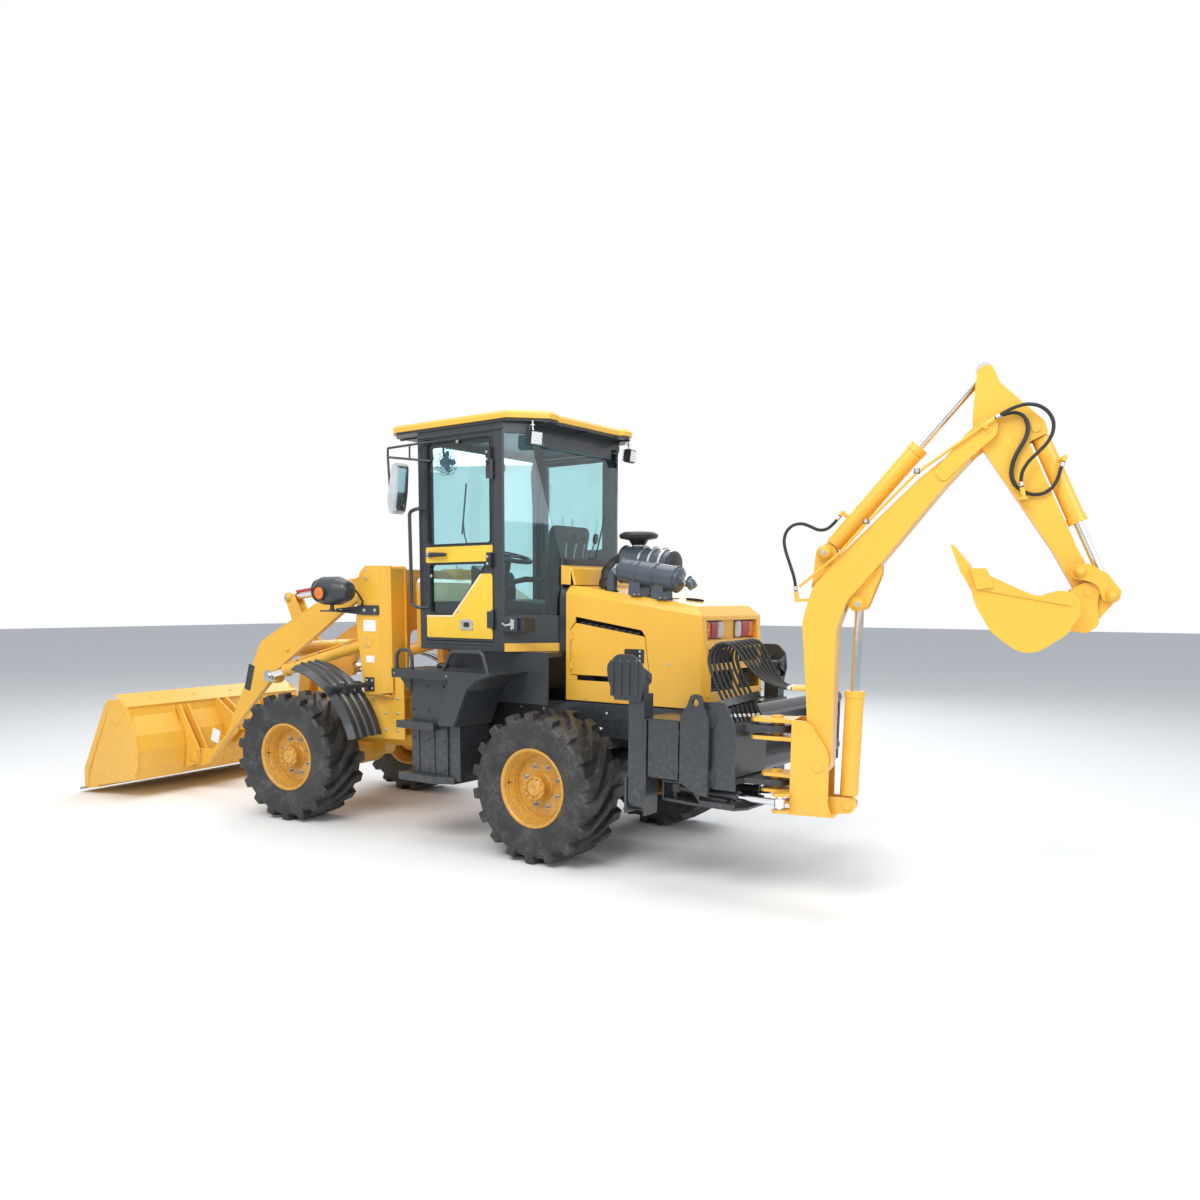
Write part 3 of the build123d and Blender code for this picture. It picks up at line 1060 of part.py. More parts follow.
def hoe_bucket():
    """The digging bucket: wrapped shell, cheeks with a stiffening band, lip, side cutters and teeth."""
    half = 230
    outer = across([(1063, 1863), (1034, 1852), (1060, 1780), (1137, 1651, 120), (1316, 1520, 150), (1518, 1686),
                    (1512, 1790), (1512, 1852)], (-half + 5, half - 5))
    shell = outer - across([(1063, 1900), (1052, 1857), (1077, 1784), (1150, 1663, 110), (1316, 1538, 140),
                            (1500, 1692), (1496, 1790), (1496, 1900)], (-half, half))
    cheek = [(1126, 1936, 20), (1062, 1960), (1036, 1850), (1062, 1776), (1137, 1649, 120), (1316, 1516, 150),
             (1490, 1640, 80), (1549, 1748, 60), (1538, 1822, 40), (1500, 1858, 40), (1440, 1865, 60),
             (1352, 1832, 90), (1266, 1868, 60)]
    cheeks = paired(across(cheek, (half - 14, half)))
    band = [(1125, 1935, 18), (1062, 1960), (1050, 1872), (1500, 1786), (1512, 1800, 10), (1500, 1858, 40),
            (1440, 1865, 60), (1352, 1832, 90), (1266, 1868, 60)]
    bands = paired(across(band, (half - 2, half + 6)))
    cutters = paired(across([(1018, 1978), (1096, 1979), (1138, 1880), (1058, 1870)], (half + 5, half + 19)))
    lip = across([(1066, 1784), (1040, 1848), (976, 1960), (1000, 1972), (1062, 1866), (1086, 1794)],
                 (-half + 6, half - 6))
    teeth = []
    for y in (-196, -98, 0, 98, 196):
        tooth = across([(1052, 1846), (972, 1962), (918, 2100), (930, 2104), (1010, 2010), (1074, 1872)], (y - 30, y + 30))
        tooth &= across([(1080, 1830), (900, 1900), (900, 2110), (1090, 2110)], (y - 30, y + 30))
        teeth.append(tooth)
    ear = [(1500, 1870), (1560, 1905, 30), (1640, 1900, 40), (1630, 1800, 60), (1645, 1690, 40), (1590, 1645, 40),
           (1505, 1660)]
    plates = paired(across(ear, HOE_EAR_Y))
    pin = bar_y(*HOE_BUCKET_PIN, 22, (-HOE_EAR_Y[1] - 3, HOE_EAR_Y[1] + 3))
    return joined(shell, cheeks, bands, cutters, lip, *teeth, plates, pin)


# ---------------------------------------------------------------- outriggers
def outrigger_arm():
    arm = block(RIGGER_X, (RIGGER_Y - 52, RIGGER_Y + 52), (RIGGER_Z, PAD_Z - 95))
    arm += bar_x(RIGGER_Y, RIGGER_Z, 52, RIGGER_X)
    head = block((RIGGER_X[0] + 20, RIGGER_X[1] - 20), (RIGGER_Y - 30, RIGGER_Y + 30), (PAD_Z - 100, PAD_Z))
    head += bar_x(RIGGER_Y, PAD_Z, 30, (RIGGER_X[0] + 20, RIGGER_X[1] - 20))
    return arm + head - bar_x(RIGGER_Y, RIGGER_Z, 29, (700, 1000)) - bar_x(RIGGER_Y, PAD_Z, 19, (700, 1000))


def outrigger_pad():
    """A ribbed foot plate with round shoulders, on its two cheeks and its pin."""
    y = (RIGGER_Y - 75, RIGGER_Y - 60)
    plate = across([(722, 1190), (918, 1190), (942, 1300), (930, 1410, 60), (862, 1478, 70), (738, 1478, 70),
                    (660, 1410, 60), (668, 1320)], y)
    for x in (705, 765, 825, 885):
        plate += bar_z(x, y[0], 14, (1215, 1432)) + Pos(x, y[0], 1432) * Sphere(14)
    for x in (RIGGER_X[0] - 2, RIGGER_X[1] - 10):
        plate += lengthways([(y[1] - 2, 1260), (RIGGER_Y + 30, PAD_Z - 25, 20), (RIGGER_Y + 30, PAD_Z + 25, 20),
                             (y[1] - 2, 1400)], (x, x + 12))
    plate += bar_x(RIGGER_Y, PAD_Z, 18, (RIGGER_X[0] - 8, RIGGER_X[1] + 8))
    return plate


# ---------------------------------------------------------------- rams in place
def at_y(point, y):
    return (point[0], y, point[1])


ACROSS = (0, 1, 0)
UP = (0, 0, 1)
def lift_rams():
    barrel, rod = ram(at_y(LIFT_BASE, LIFT_Y), at_y(LIFT_EYE, LIFT_Y), ACROSS, 46, 1043, 26, 56, 30, 30, 84)
    return paired(barrel), paired(rod)


def tilt_ram():
    return ram(at_y(ARM_PIVOT, 0), at_y(CRANK_TOP, 0), ACROSS, 52, 1100, 28, 64, 30, 185, 76)


def boom_ram():
    return ram(at_y(BOOM_RAM_BASE, 0), at_y(BOOM_RAM_EYE, 0), ACROSS, 52, 660, 25, 68, 25, 390, 80)


def dipper_ram():
    barrel, rod = ram(at_y(DIPPER_RAM_BASE, 0), at_y(DIPPER_RAM_EYE, 0), ACROSS, 50, 730, 25, 62, 25, 370, 72)
    return barrel + ram_port(DIPPER_RAM_HOSE, DIPPER_RAM_BASE, DIPPER_RAM_EYE), rod


def ram_port(route, base, end):
    """The union of a hose on a ram's barrel, and the pipe from it into the barrel."""
    points = in_plane(route)
    last, before = Vector(*points[-1]), Vector(*points[-2])
    out = (last - before).normalized()
    corner = last + out * 22
    axis_start, axis = Vector(*at_y(base, 0)), (Vector(*at_y(end, 0)) - Vector(*at_y(base, 0))).normalized()
    into = axis_start + axis * (corner - axis_start).dot(axis)
    return union(last, before, 22) + strut(corner, into, UNION_R - 2) - strut(into - axis * 30, into + axis * 30, 40) \
        + Pos(*corner) * Sphere(UNION_R)


def bucket_ram():
    barrel, rod = ram(at_y(BUCKET_RAM_BASE, 0), at_y(ROCKER_EYE, 0), ACROSS, 44, 533, 22, 56, 24, 235, 80)
    return barrel + ram_port(BUCKET_RAM_HOSE, BUCKET_RAM_BASE, ROCKER_EYE), rod


def steering_ram():
    turn = radians(FRONT_TURN)
    dx, dy = STEER_EYE[0] - ARTIC_X, STEER_EYE[1]
    eye = (ARTIC_X + dx * cos(turn) - dy * sin(turn), dx * sin(turn) + dy * cos(turn), STEER_EYE[2])
    return ram(STEER_BASE, eye, UP, 36, 430, 18, 50, 20, 120, STEER_GAP)


def swing_ram(side):
    base_x, spread = SWING_BASE
    base = (base_x, SWING_PIN[1] + side * spread, SWING_Z)
    turn = radians(HOE_SWING)
    u, w = SWING_EYE[0], side * SWING_EYE[1]
    eye = (SWING_PIN[0] + u * cos(turn) - w * sin(turn), SWING_PIN[1] + u * sin(turn) + w * cos(turn), SWING_Z)
    goes_in = 160 if side > 0 else 230
    return ram(base, eye, UP, 30, 468, 20, 50, SWING_RAM_PIN_R, goes_in, 82)


# ---------------------------------------------------------------- export
def nodes():
    made = {}
    for name, x, side, place in (("front_left", -WHEELBASE, -1, front), ("front_right", -WHEELBASE, 1, front),
                                 ("rear_left", 0, -1, None), ("rear_right", 0, 1, None)):
        shape = wheel(x, side)
        made["wheel_" + name] = place(shape) if place else shape
    made["rear_axle"] = axle(0, -1)
    made["front_axle"] = front(axle(-WHEELBASE, 1))
    made["rear_frame"] = rear_frame()
    made["front_frame"] = front(front_frame())
    fenders, lamps = front_fenders_and_lamps()
    made["fenders_and_lamps"] = front(fenders + lamps)
    made["hood"] = hood()
    door = engine_door()
    made["hood_door_right"] = door
    made["hood_door_left"] = mirrored(door)
    made["engine_block"] = engine_block()
    made["muffler"] = muffler()
    made["air_cleaner"] = air_cleaner()
    made["cab_frame"] = cab_frame()
    made["cab_glass"] = cab_glass()
    roof, nose, cowl, strips = cab_bodywork()
    made["cab_bodywork"] = roof + nose + cowl + strips
    for name, side in (("left", -1), ("right", 1)):
        made["cab_door_" + name] = cab_door(side)
        panes = door_panes()
        made["cab_door_" + name + "_glass"] = panes if side > 0 else mirrored(panes)
    made["seat"] = seat()
    made["steering_console"] = steering_console()
    made["platforms"] = platforms()
    made["loader_arms"] = front(loader_arms())
    made["loader_bucket"] = front(loader_bucket())
    made["bellcrank"] = front(bellcrank())
    made["loader_link"] = front(loader_link())
    for name, pair in (("lift", lift_rams()), ("tilt", tilt_ram())):
        made[name + "_ram_barrel"] = front(pair[0])
        made[name + "_ram_rod"] = front(pair[1])
    steer = steering_ram()
    made["steering_ram_barrel"] = steer[0]
    made["steering_ram_rod"] = steer[1]
    slide, mounts, box = hoe_frame()
    made["hoe_frame"] = apart(*slide, mounts + mirrored(box))
    made["tool_box_door"] = tool_box_door()
    made["carriage"] = carriage()
    made["swing_post"] = hoe(swing_post())
    made["boom"] = hoe(boom())
    made["dipper"] = hoe(dipper())
    made["hoe_bucket"] = hoe(hoe_bucket())
    made["rocker"] = hoe(rocker())
    made["hoe_link"] = hoe(hoe_link())
    for name, pair in (("boom", boom_ram()), ("dipper", dipper_ram()), ("hoe_bucket", bucket_ram())):
        made[name + "_ram_barrel"] = hoe(pair[0])
        made[name + "_ram_rod"] = hoe(pair[1])
    for name, side in (("left", -1), ("right", 1)):
        barrel, rod = swing_ram(side)
        made["swing_ram_" + name + "_barrel"] = barrel
        made["swing_ram_" + name + "_rod"] = rod
        arm, pad = outrigger_arm(), outrigger_pad()
        made["outrigger_" + name] = arm if side < 0 else mirrored(arm)
        made["outrigger_pad_" + name] = pad if side < 0 else mirrored(pad)
    made["hoe_hoses"] = hoe_hoses()
    made["boom_tip_hoses"] = hoe(boom_tip_hoses())
    return made


os.makedirs("parts", exist_ok=True)
for name, shape in nodes().items():
    export_step(shape, "parts/" + name + ".step")
print("tightest bend of each hose, in hose diameters:", [round(r / (2 * HOSE_R), 1) for r in MIN_RADII])
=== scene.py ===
import random
from math import atan2, cos, degrees, hypot, pi, radians, sin, sqrt, tan

import bmesh
import bpy
from mathutils import Matrix, Vector


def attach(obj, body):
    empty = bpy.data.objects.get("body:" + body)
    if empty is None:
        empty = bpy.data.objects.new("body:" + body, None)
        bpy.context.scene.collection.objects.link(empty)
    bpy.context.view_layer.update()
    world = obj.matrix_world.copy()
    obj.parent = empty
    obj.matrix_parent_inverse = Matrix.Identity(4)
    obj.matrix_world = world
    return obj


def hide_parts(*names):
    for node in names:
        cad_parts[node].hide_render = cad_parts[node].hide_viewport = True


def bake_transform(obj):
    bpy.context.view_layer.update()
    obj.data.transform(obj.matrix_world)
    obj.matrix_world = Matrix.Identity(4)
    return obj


# Articulated backhoe loader. Metres. +X to the rear, +Y to the machine's right, +Z up, origin on the
# ground under the middle of the rear axle. Front pieces are drawn straight ahead and turned by
# FRONT_TURN about the articulation pin. Hoe pieces are drawn in the hoe's plane and turned about its
# swing pin.

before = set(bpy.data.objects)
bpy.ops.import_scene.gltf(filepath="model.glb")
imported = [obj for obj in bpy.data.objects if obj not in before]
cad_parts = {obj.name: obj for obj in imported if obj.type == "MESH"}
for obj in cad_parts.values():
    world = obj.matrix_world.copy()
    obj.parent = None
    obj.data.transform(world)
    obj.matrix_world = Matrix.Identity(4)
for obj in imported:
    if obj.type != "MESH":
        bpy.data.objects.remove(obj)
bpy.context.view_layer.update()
scene = bpy.context.scene

MM = 0.001
ARTIC_X = -1.310
FRONT_TURN = radians(7.5)
SWING_PIN = (1.720, -0.750)
HOE_SWING = radians(14.3)

FRONT = Matrix.Translation((ARTIC_X, 0, 0)) @ Matrix.Rotation(FRONT_TURN, 4,
        "Z") @ Matrix.Translation((-ARTIC_X, 0, 0))
HOE = Matrix.Translation((SWING_PIN[0], SWING_PIN[1], 0)) @ Matrix.Rotation(HOE_SWING, 4, "Z")
REAR = Matrix.Identity(4)
MIRROR = Matrix.Scale(-1, 4, (0, 1, 0))


# ---------------------------------------------------------------- camera
def make_camera():
    place, yaw, pitch, roll = Vector((4.3644, -6.2405,
                                      1.8152)), radians(37.85), radians(7.767), radians(0.09)
    focal, middle = 1013.997, (561.11, 737.857)     # for a frame 1200 wide
    ahead = Vector((-sin(yaw), cos(yaw), 0))
    side = Vector((cos(yaw), sin(yaw), 0))
    up = Vector((0, 0, 1))
    look = ahead * cos(pitch) - up * sin(pitch)
    top = up * cos(pitch) + ahead * sin(pitch)
    right = side * cos(roll) + top * sin(roll)
    above = top * cos(roll) - side * sin(roll)
    data = bpy.data.cameras.new("camera")
    data.sensor_width = 36
    data.lens = focal * 36 / 1200
    data.shift_x = (600 - middle[0]) / 1200
    data.shift_y = (middle[1] - 600) / 1200
    data.clip_end = 200
    camera = bpy.data.objects.new("camera", data)
    turned = Matrix((right, above, -look)).transposed().to_4x4()
    camera.matrix_world = Matrix.Translation(place) @ turned
    scene.collection.objects.link(camera)
    scene.camera = camera


make_camera()


# ---------------------------------------------------------------- light and floor
def area_light(name, place, aim, size, power, colour=(1, 1, 1)):
    data = bpy.data.lights.new(name, "AREA")
    data.shape = "RECTANGLE"
    data.size, data.size_y = size
    data.energy = power
    data.color = colour
    lamp = bpy.data.objects.new(name, data)
    lamp.location = place
    lamp.rotation_euler = (Vector(aim) - Vector(place)).to_track_quat("-Z", "Y").to_euler()
    scene.collection.objects.link(lamp)


def plain_background(colour, strength, tree, lit):
    """What the camera, a mirror and glass see, over how the surface or the world really lights."""
    nodes, links = tree.nodes, tree.links
    path = nodes.new("ShaderNodeLightPath")
    first = nodes.new("ShaderNodeMath")
    first.operation = "MAXIMUM"
    links.new(path.outputs["Is Camera Ray"], first.inputs[0])
    links.new(path.outputs["Is Glossy Ray"], first.inputs[1])
    seen = nodes.new("ShaderNodeMath")
    seen.operation = "MAXIMUM"
    links.new(first.outputs[0], seen.inputs[0])
    links.new(path.outputs["Is Transmission Ray"], seen.inputs[1])
    shown = nodes.new("ShaderNodeBackground" if lit.node.bl_idname == "ShaderNodeBackground"
                      else "ShaderNodeEmission")
    shown.inputs["Color"].default_value = (*colour, 1)
    shown.inputs["Strength"].default_value = strength
    mix = nodes.new("ShaderNodeMixShader")
    links.new(seen.outputs[0], mix.inputs[0])
    links.new(lit, mix.inputs[1])
    links.new(shown.outputs[0], mix.inputs[2])
    return mix.outputs[0]


def make_studio():
    world = bpy.data.worlds.new("studio")
    scene.world = world
    world.use_nodes = True
    tree = world.node_tree
    tree.nodes.clear()
    sky = tree.nodes.new("ShaderNodeBackground")
    sky.inputs["Color"].default_value = (0.86, 0.93, 1.0, 1)
    sky.inputs["Strength"].default_value = 0.5
    out = tree.nodes.new("ShaderNodeOutputWorld")
    tree.links.new(plain_background((1, 1, 1), 1.0, tree, sky.outputs[0]), out.inputs["Surface"])

    area_light("key", (1.5, -9.0, 9.5), (-1.2, 0, 1.2), (7, 5), 900, (1.0, 0.97, 0.92))
    area_light("fill", (9.5, -3.0, 5.5), (0.5, 0, 1.2), (6, 5), 310, (0.95, 0.97, 1.0))
    area_light("top", (-1.5, 1.5, 10.5), (-1.2, 0, 0), (9, 7), 450)
    area_light("back", (-6.0, 8.5, 6.5), (-1.2, 0, 1.2), (7, 5), 310)

    floor = bpy.data.meshes.new("floor")
    reach = 60
    floor.from_pydata([(-reach, -reach, 0), (reach, -reach, 0), (reach, reach, 0),
                       (-reach, reach, 0)], [], [(0, 1, 2, 3)])
    pad = bpy.data.objects.new("floor", floor)
    scene.collection.objects.link(pad)
    paint = bpy.data.materials.new("floor")
    paint.use_nodes = True
    shader = paint.node_tree.nodes["Principled BSDF"]
    shader.inputs["Base Color"].default_value = (0.93, 0.93, 0.93, 1)
    shader.inputs["Roughness"].default_value = 0.9
    shader.inputs["Specular IOR Level"].default_value = 0.1
    pad.data.materials.append(paint)
    scene.view_settings.view_transform = "Standard"


make_studio()


# ---------------------------------------------------------------- materials
def new_material(name):
    material = bpy.data.materials.new(name)
    material.use_nodes = True
    tree = material.node_tree
    shader = tree.nodes["Principled BSDF"]
    return material, tree, shader


def place_of(tree):
    """Object coordinates, in metres of the machine."""
    return tree.nodes.new("ShaderNodeTexCoord").outputs["Object"]


def noise(tree, scale, detail=3, rough=0.55):
    node = tree.nodes.new("ShaderNodeTexNoise")
    node.inputs["Scale"].default_value = scale
    node.inputs["Detail"].default_value = detail
    node.inputs["Roughness"].default_value = rough
    tree.links.new(place_of(tree), node.inputs["Vector"])
    return node.outputs["Fac"]


def ramp(tree, source, low, high, low_to=0.0, high_to=1.0):
    """A number that goes from low_to to high_to as source goes from low to high."""
    node = tree.nodes.new("ShaderNodeMapRange")
    node.inputs["From Min"].default_value = low
    node.inputs["From Max"].default_value = high
    node.inputs["To Min"].default_value = low_to
    node.inputs["To Max"].default_value = high_to
    tree.links.new(source, node.inputs["Value"])
    return node.outputs["Result"]


def mix_colour(tree, share, first, second):
    """Two colours, each an RGB tuple or a socket, mixed by share."""
    node = tree.nodes.new("ShaderNodeMix")
    node.data_type = "RGBA"
    if isinstance(share, (int, float)):
        node.inputs[0].default_value = share
    else:
        tree.links.new(share, node.inputs[0])
    for socket, colour in ((node.inputs[6], first), (node.inputs[7], second)):
        if isinstance(colour, tuple):
            socket.default_value = (*colour, 1)
        else:
            tree.links.new(colour, socket)
    return node.outputs[2]


def maths(tree, what, first, second):
    node = tree.nodes.new("ShaderNodeMath")
    node.operation = what
    for socket, value in zip(node.inputs, (first, second)):
        if isinstance(value, (int, float)):
            socket.default_value = value
        else:
            tree.links.new(value, socket)
    return node.outputs[0]


def bump(tree, shader, height, strength, distance, normal=None):
    node = tree.nodes.new("ShaderNodeBump")
    node.inputs["Strength"].default_value = strength
    node.inputs["Distance"].default_value = distance
    tree.links.new(height, node.inputs["Height"])
    if normal is not None:
        tree.links.new(normal, node.inputs["Normal"])
    tree.links.new(node.outputs["Normal"], shader.inputs["Normal"])


def soft_edges(tree, radius):
    """A normal that rounds sharp edges by radius, and a mask that is 1 on those edges."""
    rounded = tree.nodes.new("ShaderNodeBevel")
    rounded.samples = 4
    rounded.inputs["Radius"].default_value = radius
    flat = tree.nodes.new("ShaderNodeNewGeometry")
    dot = tree.nodes.new("ShaderNodeVectorMath")
    dot.operation = "DOT_PRODUCT"
    tree.links.new(rounded.outputs["Normal"], dot.inputs[0])
    tree.links.new(flat.outputs["Normal"], dot.inputs[1])
    return rounded.outputs["Normal"], ramp(tree, dot.outputs["Value"], 0.995, 0.85)


def height_mask(tree, low, high):
    """1 below low and 0 above high, in metres above the ground."""
    split = tree.nodes.new("ShaderNodeSeparateXYZ")
    tree.links.new(place_of(tree), split.inputs[0])
    return ramp(tree, split.outputs["Z"], low, high, 1.0, 0.0)


# edge is the colour of the painted highlight along sharp edges
def paint(name, colour, dusty, edge, roughness, dust, coat=0.25, speckle=0.0006, edge_radius=0.004):
    """Sprayed enamel on steel: cloudy tone, dust that gathers low down, a painted highlight of paler paint
    along sharp edges, and a fine peel.
    """
    material, tree, shader = new_material(name)
    cloud = noise(tree, 1.7, 4)
    fine = noise(tree, 38, 3)
    base = mix_colour(tree, ramp(tree, cloud, 0.35, 0.7), colour, tuple(c * 0.93 for c in colour))
    grime = maths(tree, "MULTIPLY", ramp(tree, fine, 0.42, 0.72), height_mask(tree, 0.35, 1.3))
    grime = maths(tree, "MULTIPLY", grime, dust)
    base = mix_colour(tree, grime, base, dusty)
    normal, edge_band = soft_edges(tree, edge_radius)
    # painted highlight: sharp edges turn towards the paler edge colour, in patches broken up by noise
    edge_highlight = maths(tree, "MULTIPLY", edge_band, ramp(tree, noise(tree, 22, 2), 0.4, 0.65, 0.15, 0.8))
    base = mix_colour(tree, edge_highlight, base, edge)
    tree.links.new(base, shader.inputs["Base Color"])
    tree.links.new(ramp(tree, fine, 0.3, 0.75, roughness - 0.05, roughness + 0.1),
                   shader.inputs["Roughness"])
    shader.inputs["Coat Weight"].default_value = coat
    shader.inputs["Coat Roughness"].default_value = 0.12
    bump(tree, shader, noise(tree, 260, 2), 0.25, speckle, normal)
    return material


def metal(name, colour, roughness, brushed=0.0):
    material, tree, shader = new_material(name)
    cloud = noise(tree, 9, 4)
    base = mix_colour(tree, cloud, colour, tuple(c * 0.82 for c in colour))
    tree.links.new(base, shader.inputs["Base Color"])
    shader.inputs["Metallic"].default_value = 1.0
    tree.links.new(ramp(tree, noise(tree, 60, 4), 0.3, 0.8, roughness, roughness + 0.12),
                   shader.inputs["Roughness"])
    bump(tree, shader, noise(tree, 180, 2), 0.1 + brushed, 0.0004)
    return material


def moulded(name, colour, roughness, grain=0.0008, grain_scale=420):
    """Moulded plastic or rubber with a fine grain."""
    material, tree, shader = new_material(name)
    cloud = noise(tree, 6, 4)
    base = mix_colour(tree, ramp(tree, cloud, 0.35, 0.7), colour,
                      tuple(min(1, c * 1.35 + 0.004) for c in colour))
    tree.links.new(base, shader.inputs["Base Color"])
    tree.links.new(ramp(tree, cloud, 0.3, 0.7, roughness, roughness + 0.12),
                   shader.inputs["Roughness"])
    bump(tree, shader, noise(tree, grain_scale, 2), 0.4, grain)
    return material


def tyre_rubber():
    """Tyre rubber: dark, with dry dust in the tread's grooves and on the sidewall."""
    material, tree, shader = new_material("tyre_rubber")
    cloud = noise(tree, 7, 5, 0.65)
    fine = noise(tree, 70, 4)
    dust = maths(tree, "MULTIPLY", ramp(tree, cloud, 0.42, 0.68), ramp(tree, fine, 0.35, 0.65))
    base = mix_colour(tree, maths(tree, "MULTIPLY", dust, 0.55), (0.017, 0.019, 0.021),
                      (0.19, 0.18, 0.165))
    tree.links.new(base, shader.inputs["Base Color"])
    tree.links.new(ramp(tree, dust, 0, 1, 0.45, 0.8), shader.inputs["Roughness"])
    bump(tree, shader, noise(tree, 300, 3), 0.5, 0.0007)
    return material


def tinted_glass():
    material, tree, shader = new_material("tinted_glass")
    smear = noise(tree, 3.5, 5, 0.7)
    tree.links.new(mix_colour(tree, smear, (0.56, 0.80, 0.84), (0.66, 0.87, 0.89)),
                   shader.inputs["Base Color"])
    shader.inputs["Transmission Weight"].default_value = 1.0
    shader.inputs["IOR"].default_value = 1.45
    tree.links.new(ramp(tree, smear, 0.45, 0.8, 0.0, 0.06), shader.inputs["Roughness"])
    return material


def applied(obj):
    """The object's mesh with its modifiers applied, as a mesh of its own."""
    shown = obj.evaluated_get(bpy.context.evaluated_depsgraph_get())
    return bpy.data.meshes.new_from_object(shown)


def lamp_glass(name, colour):
    """A ribbed lens."""
    material, tree, shader = new_material(name)
    wave = tree.nodes.new("ShaderNodeTexWave")
    wave.inputs["Scale"].default_value = 55
    tree.links.new(place_of(tree), wave.inputs["Vector"])
    base = mix_colour(tree, wave.outputs["Fac"], colour, tuple(c * 0.7 for c in colour))
    tree.links.new(base, shader.inputs["Base Color"])
    shader.inputs["Roughness"].default_value = 0.12
    shader.inputs["Coat Weight"].default_value = 0.6
    bump(tree, shader, wave.outputs["Fac"], 0.5, 0.0012)
    return material


# The third colour of each paint is its painted edge highlight.
YELLOW = paint("yellow_enamel", (0.90, 0.50, 0.055), (0.55, 0.36, 0.16), (0.98, 0.70, 0.22), 0.34,
               0.35)
RIM_YELLOW = paint("rim_enamel", (0.72, 0.36, 0.035), (0.34, 0.22, 0.11), (0.85, 0.50, 0.12), 0.42,
                   0.75)
BLACK = paint("black_enamel", (0.028, 0.034, 0.041), (0.15, 0.14, 0.13), (0.14, 0.15, 0.17), 0.36,
              0.45)
GREY = paint("grey_enamel", (0.060, 0.082, 0.108), (0.16, 0.17, 0.18), (0.24, 0.28, 0.32), 0.32,
             0.2)
CHROME = metal("chrome", (0.86, 0.88, 0.92), 0.05)
ZINC = metal("zinc_plate", (0.62, 0.63, 0.62), 0.32, 0.2)
STEEL = metal("worn_steel", (0.42, 0.41, 0.40), 0.45, 0.3)
RUBBER = moulded("black_rubber", (0.012, 0.013, 0.014), 0.55)
PLASTIC = moulded("black_plastic", (0.016, 0.018, 0.021), 0.38)
TYRE = tyre_rubber()
GLASS = tinted_glass()
CLEAR_LENS = lamp_glass("clear_lens", (0.80, 0.84, 0.88))
RED_LENS = lamp_glass("red_lens", (0.55, 0.02, 0.015))
AMBER_LENS = lamp_glass("amber_lens", (0.90, 0.22, 0.01))
VINYL = moulded("seat_vinyl", (0.025, 0.026, 0.028), 0.5, 0.0012, 260)
PALE_PLASTIC = moulded("pale_plastic", (0.46, 0.48, 0.50), 0.4)
BLUE_PLASTIC = moulded("blue_plastic", (0.02, 0.24, 0.55), 0.3)
# painted light: a brighter, cleaner copy of the yellow enamel for the door sheets
DOOR_LIT_YELLOW = paint("door_lit_enamel", (0.95, 0.60, 0.045), (0.60, 0.42, 0.18), (1.0, 0.80, 0.36),
                    0.28, 0.15)
# a pale yellow that paints the highlight on the bent top edge of the door's lower panel
DOOR_EDGE_HIGHLIGHT = paint("door_edge_painted_highlight", (0.98, 0.84, 0.52), (0.70, 0.55, 0.30), (1.0, 0.92, 0.70),
                  0.3, 0.1)
LED = moulded("led_lens", (0.93, 0.94, 0.95), 0.15)
PRINT = moulded("printed_glass_border", (0.014, 0.020, 0.020), 0.18, 0.0002, 200)


# ---------------------------------------------------------------- finish of each piece of the frame
FINISH = {
    YELLOW: """cab_bodywork hood hood_door_left hood_door_right loader_arms loader_bucket bellcrank loader_link
        front_frame lift_ram_barrel tilt_ram_barrel boom dipper hoe_bucket rocker hoe_link swing_post
        boom_ram_barrel dipper_ram_barrel hoe_bucket_ram_barrel front_axle""",
    BLACK: """rear_frame rear_axle platforms hoe_frame tool_box_door carriage outrigger_left outrigger_right
        outrigger_pad_left outrigger_pad_right fenders_and_lamps cab_frame cab_door_left cab_door_right
        swing_ram_left_barrel swing_ram_right_barrel steering_ram_barrel steering_console engine_block""",
    GREY: "muffler air_cleaner",
    CHROME: """lift_ram_rod tilt_ram_rod steering_ram_rod boom_ram_rod dipper_ram_rod hoe_bucket_ram_rod
        swing_ram_left_rod swing_ram_right_rod""",
    GLASS: "cab_glass cab_door_left_glass cab_door_right_glass",
    TYRE: "wheel_front_left wheel_front_right wheel_rear_left wheel_rear_right",
    VINYL: "seat",
    RUBBER: "hoe_hoses boom_tip_hoses",
}
for finish, names in FINISH.items():
    for name in names.split():
        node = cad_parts[name]
        node.data.materials.clear()
        node.data.materials.append(finish)
